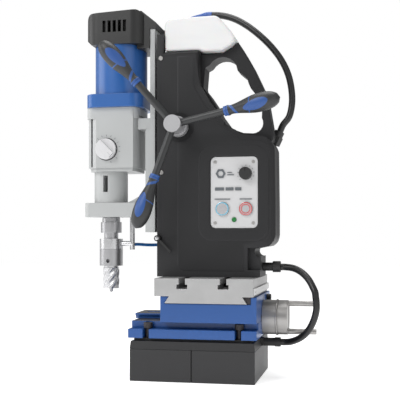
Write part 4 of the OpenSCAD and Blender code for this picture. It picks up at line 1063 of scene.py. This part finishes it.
class DRILL_OT_stage(bpy.types.Operator):
    """Adds the pale floor and the soft studio lights"""
    bl_idname = "drill.stage"
    bl_label = "Stage"

    def execute(self, context):
        bm = blank()
        bmesh.ops.create_grid(bm, x_segments=1, y_segments=1, size=6)
        floor = add_piece("floor", bm, None, "floor")
        for name, spot, aim, size, watts in (
                ("key", (-1.2, -1.8, 1.9), (0, 0, 0.3), 1.2, 30),
                ("fill", (1.8, -1.7, 1.1), (0, 0, 0.3), 1.6, 6),
                ("top", (0.0, 0.2, 2.4), (0, 0, 0.3), 1.4, 26),
                ("left", (-2.2, -0.3, 0.9), (0, 0, 0.35), 1.4, 14)):
            data = bpy.data.lights.new(name, "AREA")
            data.size = size
            data.energy = watts
            light = bpy.data.objects.new(name, data)
            light.location = spot
            away = Vector(spot) - Vector(aim)
            light.rotation_euler = away.to_track_quat("Z", "Y").to_euler()
            context.scene.collection.objects.link(light)
        context.scene.view_settings.view_transform = "Standard"
        world = bpy.data.worlds.new("studio")
        world.use_nodes = True
        world.node_tree.nodes["Background"].inputs["Color"].default_value = (1, 1, 1, 1)
        sky = world.node_tree.nodes["Background"]
        seen = world.node_tree.nodes.new("ShaderNodeLightPath")
        level = world.node_tree.nodes.new("ShaderNodeMapRange")
        level.inputs["To Min"].default_value = 0.42
        level.inputs["To Max"].default_value = 1.0
        world.node_tree.links.new(seen.outputs["Is Camera Ray"], level.inputs["Value"])
        world.node_tree.links.new(level.outputs["Result"], sky.inputs["Strength"])
        context.scene.world = world
        return {"FINISHED"}


OPERATORS = (
    DRILL_OT_camera, DRILL_OT_cords, DRILL_OT_foot, DRILL_OT_slides, DRILL_OT_table,
    DRILL_OT_column, DRILL_OT_panel, DRILL_OT_tank, DRILL_OT_carriage, DRILL_OT_motor,
    DRILL_OT_spindle, DRILL_OT_feed, DRILL_OT_stage)


class DRILL_PT_panel(bpy.types.Panel):
    """Lists the steps that finish the drill press"""
    bl_idname = "DRILL_PT_panel"
    bl_label = "Magnetic drill press"
    bl_space_type = "VIEW_3D"
    bl_region_type = "UI"
    bl_category = "Drill press"

    def draw(self, context):
        for owner in (context.scene.drill_finish, context.scene.drill_shape):
            for name in owner.bl_rna.properties.keys():
                if name not in ("rna_type", "name"):
                    self.layout.prop(owner, name)
        for step in OPERATORS:
            self.layout.operator(step.bl_idname)


CLASSES = (DrillFinishSettings, DrillShapeSettings) + OPERATORS + (DRILL_PT_panel,)


def register():
    for one in CLASSES:
        bpy.utils.register_class(one)
    bpy.types.Scene.drill_finish = bpy.props.PointerProperty(type=DrillFinishSettings)
    bpy.types.Scene.drill_shape = bpy.props.PointerProperty(type=DrillShapeSettings)


def unregister():
    del bpy.types.Scene.drill_finish
    del bpy.types.Scene.drill_shape
    for one in reversed(CLASSES):
        bpy.utils.unregister_class(one)


def main():
    register()
    for step in OPERATORS:
        group, action = step.bl_idname.split(".")
        getattr(getattr(bpy.ops, group), action)()


if __name__ == "__main__":
    main()
